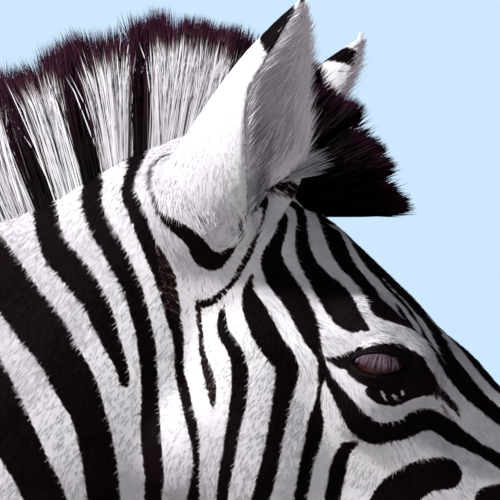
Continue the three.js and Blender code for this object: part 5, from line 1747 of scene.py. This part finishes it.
# The coat of each region: a seed, the number of tufts on one side, and the axis of their chart on the left.
COATS = {
    "head": (31, 34000, (from_head([0, 0, -90 * MM]), from_head([0.53, 0, -90 * MM]))),
    "neck": (41, 29000, ((0.2, 0, 0.95), (0.6, 0, 1.6))),
    "trunk": (51, 16000, ((-0.85, 0, 0.98), (0.5, 0, 0.98))),
    "leg": (61, 15000, ((-0.2, 0.1, 0), (-0.2, 0.1, 0.9))),
}


def coat_density(region, side, p):
    """How dense the tufts of a region grow: denser near the eye and up the neck."""
    if region == "head":
        return 1 + 1.2 * smooth_step(0.16, 0.04, np.linalg.norm(p - EYES[side], axis=1))
    return 0.6 + smooth_step(1.05, 1.3, p[:, 2]) if region == "neck" else 1


def coat_sizes(region, p):
    """Length, width and rise of the tips of a region's tufts, in millimetres: shorter down the nose, and
    longer up the legs."""
    if region == "head":
        nose = smooth_step(240, 400, to_head(p)[:, 0] / MM)
        return 6.8 - 3.0 * nose, 0.85 - 0.25 * nose, 0.7 - 0.3 * nose
    if region == "leg":
        return 9 + 9 * smooth_step(0.4, 0.8, p[:, 2]), 1.5 + smooth_step(0.3, 0.8, p[:, 2]), 1.0
    return {"neck": (7.5, 0.9, 0.7), "trunk": (17.0, 2.2, 1.4)}[region]


def coat_tufts(region, side, faces):
    """Short hair over some of the skin's faces: each tuft is one spike from just under the skin, laid along
    the coat with its tip raised a little. Its mark is the marking's value at its middle. None grow where the
    skin is bare or between the lids."""
    seed, count, axis = COATS[region]
    marks, kit = WORK["marks"], bpy.context.scene.zebra_coat
    rng = np.random.default_rng(seed + side)
    p, n = scattered(WORK["skin"], faces, rng, count, lambda place: coat_density(region, side, place))
    length, width, rise = coat_sizes(region, p)
    way = coat_way(p, n)
    way = unit(way + np.cross(n, way) * rng.normal(0, 0.13, count)[:, None])
    long = (length * kit.coat_length * rng.uniform(0.75, 1.25, count) * MM)[:, None]
    mark = marks.at(p + way * long * 0.45) + rng.normal(0, 0.0004, count)
    wide = width * kit.coat_width * rng.uniform(0.7, 1.3, count) * MM
    root = p - n * HAIR_SUNK
    tip = p + way * long + n * (rise * rng.uniform(0.5, 1.4, count) * MM)[:, None]
    if region == "head":
        kept = bare_share(p, marks.at(p)) < 0.5
        for eye in (-1, 1):
            far, _, a, b = eye_angles(p, eye)
            kept &= (far > 0.03) | (slit_depth(a, b) < -0.12)
        root, tip, wide, n, mark = root[kept], tip[kept], wide[kept], n[kept], mark[kept]
    chart = unrolled(root, *(np.array(end) * [1, side, 1] for end in axis))
    soft = unit(n + rng.normal(0, 0.13, n.shape))
    hair_object(f"{region}_coat_{SIDE_NAMES[side]}", WORK["coat_material"], np.stack([root, tip], 1),
                wide[:, None], n, chart, mark[:, None], rng.random(len(root)), soft)


class ZEBRA_OT_coat(bpy.types.Operator):
    """Makes the short coat of the head, neck, trunk and legs"""

    bl_idname = "zebra.coat"
    bl_label = "Coat"

    def execute(self, context):
        skin = WORK["skin"]
        WORK["coat_material"] = hair_material("short_hair", 0.6)
        faces = skin.faces[:skin.body_faces]
        middle = skin.points[faces].mean(1)
        face, neck, leg_share = region_shares(middle)
        head = face > 0.5
        legs = (leg_share > 0.5) & ~head
        necks = (neck > 0.5) & ~head
        regions = {"head": head, "neck": necks, "trunk": ~head & ~legs & ~necks, "leg": legs}
        for side in (-1, 1):
            here = middle[:, 1] * side > 0
            for region, inside in regions.items():
                coat_tufts(region, side, faces[inside & here])
        return {"FINISHED"}


# Loose locks by the ears: their way from start to end in points of the frame, half width at the start and the
# end, number of strands, height of the tips over the skin in millimetres, and the shares of the way over
# which the roots stand and that one strand covers.
EAR_LOCKS = [
    ((271, 180), (338, 155), 6, 12, 280, 12, 0.3, 0.62),
    ((222, 246), (278, 168), 6, 5, 520, 3, 0.9, 0.18),
    ((216, 246), (214, 200), 14, 26, 300, 3, 0.5, 0.4),
    ((262, 190), (270, 150), 5, 7, 200, 4, 0.8, 0.35),
]


def lock_paths(rng, skin, start, end, wide, spread, count, height, run, reach):
    """Strands of one lock: rooted on the skin where the view shows the root, with tips that keep the root's
    depth and stand towards the view by a height."""
    start, end = np.array(start, float), np.array(end, float)
    way = (end - start) / np.linalg.norm(end - start)
    side = np.array([-way[1], way[0]])
    t = rng.normal(0, 0.5, count).clip(-1, 1)
    back = rng.random(count) * run
    top = back + rng.uniform(0.55, 1.15, count) * reach
    roots = start + side * (t * wide)[:, None] + (end - start) * back[:, None]
    tips = start + (end - start) * top[:, None] + side * (
        t * (wide + (spread - wide) * top) + rng.normal(0, 0.22, count) * spread * reach)[:, None]
    planted, kept = [], []
    for k, uv in enumerate(roots):
        origin, ray = view_ray(uv)
        hit = skin.tree.ray_cast(Vector(origin), Vector(ray), RAY_REACH)[0]
        if hit is not None:
            planted.append(list(hit))
            kept.append(k)
    planted = np.array(planted)
    depth = (planted - CAMERA_PLACE) @ BACK
    far = in_view(*tips[kept].T) - CAMERA_PLACE
    raised = BACK * (height * rng.uniform(0.5, 1.2, len(kept)) * MM)[:, None]
    ends = CAMERA_PLACE + far * (depth / (far @ BACK))[:, None] + raised
    t = np.linspace(0, 1, 4)[None, :, None]
    bow = np.sin(math.pi * t) * 0.06 * np.linalg.norm(ends - planted, axis=1)[:, None, None]
    return planted[:, None] * (1 - t) + ends[:, None] * t + BACK * bow - BACK * 0.001 * (1 - t)


def ear_back_hair(side, rng):
    """Short hair over the back of an ear, laid towards its tip."""
    count = 5200
    along, across = rng.uniform(-0.16, 0.985, count), rng.uniform(-1, 1, count)
    p, up, out = ear_leaf(side, along, across, EAR_SKIN)
    long = (5 + 4 * smooth_step(0.3, 0, along)) * rng.uniform(0.7, 1.3, count) * MM
    foot = ear_foot_mark(WORK["marks"], p, along)
    mark = np.maximum(ear_mark(side, along + long / (EAR["length"] * MM) * 0.5, across), foot)
    tip = p + up * long[:, None] + out * (rng.uniform(0.1, 0.5, count) * MM)[:, None]
    chart = np.stack([0.25 + 0.23 * across, 0.2 + 0.75 * (along + 0.16)], -1).clip(0.01, 0.99)
    paths = np.stack([p - out * HAIR_SUNK, tip], 1)
    widths = strand_widths(rng, count, 0.7, 1.1, (1,))
    hair_object(f"ear_back_{SIDE_NAMES[side]}", WORK["coat_material"], paths, widths, out, chart,
                mark[:, None], rng.uniform(0.4, 1, count))


def ear_inside_hair(side, rng, finish):
    """Long hair from the ear's inner leaf and its rims, up and out of the opening."""
    count = 4600
    along = 0.05 + 0.9 * rng.random(count) ** 1.15
    across = rng.uniform(-0.97, 0.97, count)
    rim = rng.random(count) < 0.45
    across = np.where(rim, rng.uniform(0.82, 1.0, count) * np.sign(across + side * -0.35), across)
    p, up, out = ear_leaf(side, along, across * EAR["rim"], ear_hollow(along))
    opening = unit(np.array([EAR["open"][0], side * EAR["open"][1], 0.1]))
    way = up * rng.uniform(0.5, 1.1, count)[:, None] + opening * rng.uniform(0.5, 1.1, count)[:, None]
    way = unit(way - out * rng.uniform(0.0, 0.5, count)[:, None] + rng.normal(0, 0.15, (count, 3)))
    taper = smooth_step(1.02, 0.7, along)
    long = (6 + 15 * taper) * np.where(rim, 0.75, 1) * rng.uniform(0.6, 1.2, count) * MM
    t = np.linspace(0, 1, 3)[None, :, None]
    curve = up * rng.uniform(0.1, 0.5, count)[:, None]
    paths = p[:, None] + (way[:, None] * t + curve[:, None] * t * t) * long[:, None, None]
    widths = strand_widths(rng, count, 0.4, 0.7, (1.0, 0.8))
    chart = np.stack([0.75 + 0.23 * across, 0.05 + 0.9 * along], -1).clip(0.01, 0.99)
    dark = 0.9 * smooth_step(0.85, 0.55, along) * smooth_step(0.85, 0.45, np.abs(across))
    mark = np.where(rng.random(count) < dark, rng.normal(0.0003, 0.0002, count), WHITE_HAIR)
    soft = unit(opening * 0.3 + up * 0.5 + np.array([-0.35, side * 0.7, 0.2]))
    # Painted shade: the hairs' chance numbers stay below 0.8, so they come out duller than the coat, as
    # shaded inside the ear.
    hair_object(f"ear_inside_{SIDE_NAMES[side]}", finish, paths, widths, unit(-out + 0.3 * opening),
                chart, mark[:, None], rng.random(count) * 0.8, unit(soft + rng.normal(0, 0.3, soft.shape)))


class ZEBRA_OT_ear_hair(bpy.types.Operator):
    """Makes the short hair of the ears' backs and the long hair inside them"""

    bl_idname = "zebra.ear_hair"
    bl_label = "Ear Hair"

    def execute(self, context):
        # A painted shine stands for the sun that comes a little through the ears: the hair inside them gives
        # off light by itself.
        painted_sun_glow = {"Emission Color": (0.9, 0.78, 0.88, 1), "Emission Strength": 0.16}
        inside = hair_material("ear_hair", 0.6, **painted_sun_glow)
        for side in (-1, 1):
            rng = np.random.default_rng(71 + side)
            ear_back_hair(side, rng)
            ear_inside_hair(side, rng, inside)
        rng = np.random.default_rng(77)
        near = np.concatenate([lock_paths(rng, WORK["skin"], *lock) for lock in EAR_LOCKS])
        count = len(near)
        for side in (-1, 1):
            paths = near * [1, -side, 1]
            widths = strand_widths(rng, count, 0.45, 0.8, (1.0, 0.9, 0.7))
            out = np.broadcast_to(unit(np.array([-0.1, side * 0.9, 0.35])), (count, 3))
            chart = unrolled(paths[:, 0], (0.55, side * 0.05, 1.3), (0.6, side * 0.05, 1.6))
            # Painted shade: one strand in ten is dark, as shade between the strands, and the chance numbers
            # stay below 0.6, so every strand comes out duller than the coat, as shading on the locks.
            mark = np.where(rng.random(count) < 0.1, 0.0004, WHITE_HAIR)[:, None]
            hair_object(f"ear_locks_{SIDE_NAMES[side]}", WORK["coat_material"], paths, widths, out,
                        chart, mark, rng.random(count) * 0.6, unit(out + rng.normal(0, 0.4, (count, 3))))
        return {"FINISHED"}


def lash_paths(rng, side, count):
    """Lashes from the upper lid, down over the eye: their paths, the rays to their roots, the way up across
    the eye, and the two angles of their roots."""
    out, along, up = eye_axes(side)
    a = LID["middle"] + LID["half"] * rng.uniform(-0.78, 0.6, count)
    arch = 1 - ((a - LID["middle"]) / LID["half"]) ** 2
    b = LID["top"] * arch + rng.uniform(-0.03, 0.04, count)
    flat = out * np.cos(a)[:, None] + along * np.sin(a)[:, None]
    ray = flat * np.cos(b)[:, None] + up * np.sin(b)[:, None]
    root = EYES[side] + ray * (EYE_RADIUS + LID_SKIN["near"] * MM)
    long = (1.5 + 7.5 * arch * smooth_step(-1.15, -0.4, a)) * rng.uniform(0.75, 1.15, count) * MM
    way = unit(ray * 0.2 - up + along * rng.normal(0.05, 0.16, count)[:, None])
    t = np.linspace(0, 1, 4)[None, :, None]
    droop = (ray * 0.1 - up * 0.3)[:, None] * t * t
    return root[:, None] + (way[:, None] * t + droop) * long[:, None, None], ray, up, a, b


def whisker_paths(rng, side, count):
    """Whiskers out of the lips and the chin, which bend down a little: their paths and normals."""
    skin = WORK["skin"]
    faces = skin.faces[:skin.body_faces]
    middle = to_head(skin.points[faces].mean(1)) / MM
    lips = (middle[:, 0] > 455) & (middle[:, 2] < -62) & (middle[:, 1] * side > 2)
    p, n = scattered(skin, faces[lips], rng, count, lambda place: 1)
    way = unit(n + head_way(0.35, 0, -0.45) + rng.normal(0, 0.12, (count, 3)))
    t = np.linspace(0, 1, 4)[None, :, None]
    bend = np.array([0, 0, -0.3]) * t * t
    long = rng.uniform(9, 30, count) * MM * bpy.context.scene.zebra_coat.whisker_length
    return p[:, None] + (way[:, None] * t + bend) * long[:, None, None], n


class ZEBRA_OT_lashes(bpy.types.Operator):
    """Makes the lashes and the whiskers"""

    bl_idname = "zebra.lashes"
    bl_label = "Lashes and Whiskers"

    def execute(self, context):
        finish, tree, shader = material("lash_hair", 0.5, **{"Specular IOR Level": 0.1})
        dark, pale = (0.030, 0.010, 0.022, 1), (0.25, 0.175, 0.225, 1)
        tree.links.new(mixed(tree, attribute(tree, "chance"), dark, pale), shader.inputs["Base Color"])
        chin = [from_head(np.array([h, 0, -90]) * MM) for h in (430, 530)]
        for side in (-1, 1):
            rng = np.random.default_rng(81 + side)
            count = 330
            paths, ray, up, a, b = lash_paths(rng, side, count)
            widths = strand_widths(rng, count, 0.25, 0.45, (1.0, 0.9, 0.7))
            chart = np.stack([0.5 + 0.3 * a, 0.5 + b], -1).clip(0.01, 0.99)
            hair_object(f"lashes_{SIDE_NAMES[side]}", finish, paths, widths, unit(ray + up * 0.6),
                        chart, 0, rng.random(count) ** 2.2, unit(ray + up * 0.8))
            count = 70
            paths, n = whisker_paths(rng, side, count)
            widths = strand_widths(rng, count, 0.35, 0.5, (1.0, 0.8, 0.6))
            hair_object(f"whiskers_{SIDE_NAMES[side]}", finish, paths, widths, n,
                        unrolled(paths[:, 0], *chin), 0, rng.random(count) * 0.12)
        return {"FINISHED"}


# Lights: the setting of their power, and their place in metres. They point at the target.
LIGHTS = {"key": (-3.2, -2.4, 5.2), "fill": (3.4, -3.0, 2.2)}
LIGHT_TARGET = Vector((0.5, 0, 1.3))


def aimed(name, data, place, way):
    """A lamp or camera at a place, which looks along a way."""
    made = bpy.data.objects.new(name, data)
    bpy.context.scene.collection.objects.link(made)
    made.location = place
    made.rotation_mode = "QUATERNION"
    made.rotation_quaternion = way.to_track_quat("-Z", "Y")
    return made


class ZEBRA_OT_stage(bpy.types.Operator):
    """Makes the floor, the sky, the lights and the camera"""

    bl_idname = "zebra.stage"
    bl_label = "Stage"

    def execute(self, context):
        kit, scene = context.scene.zebra_stage, context.scene
        mesh = bpy.data.meshes.new("floor")
        reach = kit.floor_half
        corners = [(x * reach, y * reach, 0) for x, y in ((-1, -1), (1, -1), (1, 1), (-1, 1))]
        mesh.from_pydata(corners, [], [(0, 1, 2, 3)])
        floor = bpy.data.objects.new("floor", mesh)
        scene.collection.objects.link(floor)
        plain, _, shader = material("pale_floor", 0.9)
        shader.inputs["Base Color"].default_value = (*kit.floor, 1)
        mesh.materials.append(plain)
        world = bpy.data.worlds.new("sky")
        world.use_nodes = True
        tree = world.node_tree
        seen = add(tree, "ShaderNodeBackground", {"Color": (*kit.sky, 1), "Strength": 1.0})
        around = tree.nodes["Background"]
        around.inputs["Color"].default_value = (*kit.haze, 1)
        around.inputs["Strength"].default_value = kit.sky_strength
        straight = add(tree, "ShaderNodeLightPath").outputs["Is Camera Ray"]
        both = add(tree, "ShaderNodeMixShader", {0: straight, 1: around.outputs[0], 2: seen.outputs[0]})
        tree.links.new(both.outputs[0], tree.nodes["World Output"].inputs["Surface"])
        scene.world = world
        for name, place in LIGHTS.items():
            lamp = bpy.data.lights.new(name, "AREA")
            lamp.energy, lamp.size = getattr(kit, name), getattr(kit, f"{name}_size")
            aimed(name, lamp, place, LIGHT_TARGET - Vector(place))
        lens = bpy.data.cameras.new("camera")
        lens.lens = lens.sensor_width * VIEW_DISTANCE / (FRAME_POINTS * POINT_SIZE)
        lens.clip_end = 100
        scene.camera = aimed("camera", lens, Vector(CAMERA_PLACE), Vector(-BACK))
        scene.view_settings.view_transform = "Standard"
        return {"FINISHED"}


OPERATORS = (ZEBRA_OT_skin, ZEBRA_OT_eyes, ZEBRA_OT_hooves, ZEBRA_OT_mane, ZEBRA_OT_tail, ZEBRA_OT_coat,
             ZEBRA_OT_ear_hair, ZEBRA_OT_lashes, ZEBRA_OT_stage)


class ZEBRA_PT_panel(bpy.types.Panel):
    """Lists the zebra's pieces and settings"""

    bl_label = "Zebra"
    bl_idname = "ZEBRA_PT_panel"
    bl_space_type = "VIEW_3D"
    bl_region_type = "UI"
    bl_category = "Zebra"

    def draw(self, context):
        for operator in OPERATORS:
            self.layout.operator(operator.bl_idname)
        for kit in (context.scene.zebra_coat, context.scene.zebra_stage):
            for name in kit.bl_rna.properties.keys():
                if name not in ("rna_type", "name"):
                    self.layout.prop(kit, name)


CLASSES = (CoatSettings, StageSettings, *OPERATORS, ZEBRA_PT_panel)


def register():
    for kind in CLASSES:
        bpy.utils.register_class(kind)
    bpy.types.Scene.zebra_coat = bpy.props.PointerProperty(type=CoatSettings)
    bpy.types.Scene.zebra_stage = bpy.props.PointerProperty(type=StageSettings)


def unregister():
    del bpy.types.Scene.zebra_coat
    del bpy.types.Scene.zebra_stage
    for kind in reversed(CLASSES):
        bpy.utils.unregister_class(kind)


def main():
    register()
    build_groups()
    for operator in OPERATORS:
        getattr(bpy.ops.zebra, operator.bl_idname.split(".")[1])()


if __name__ == "__main__":
    main()
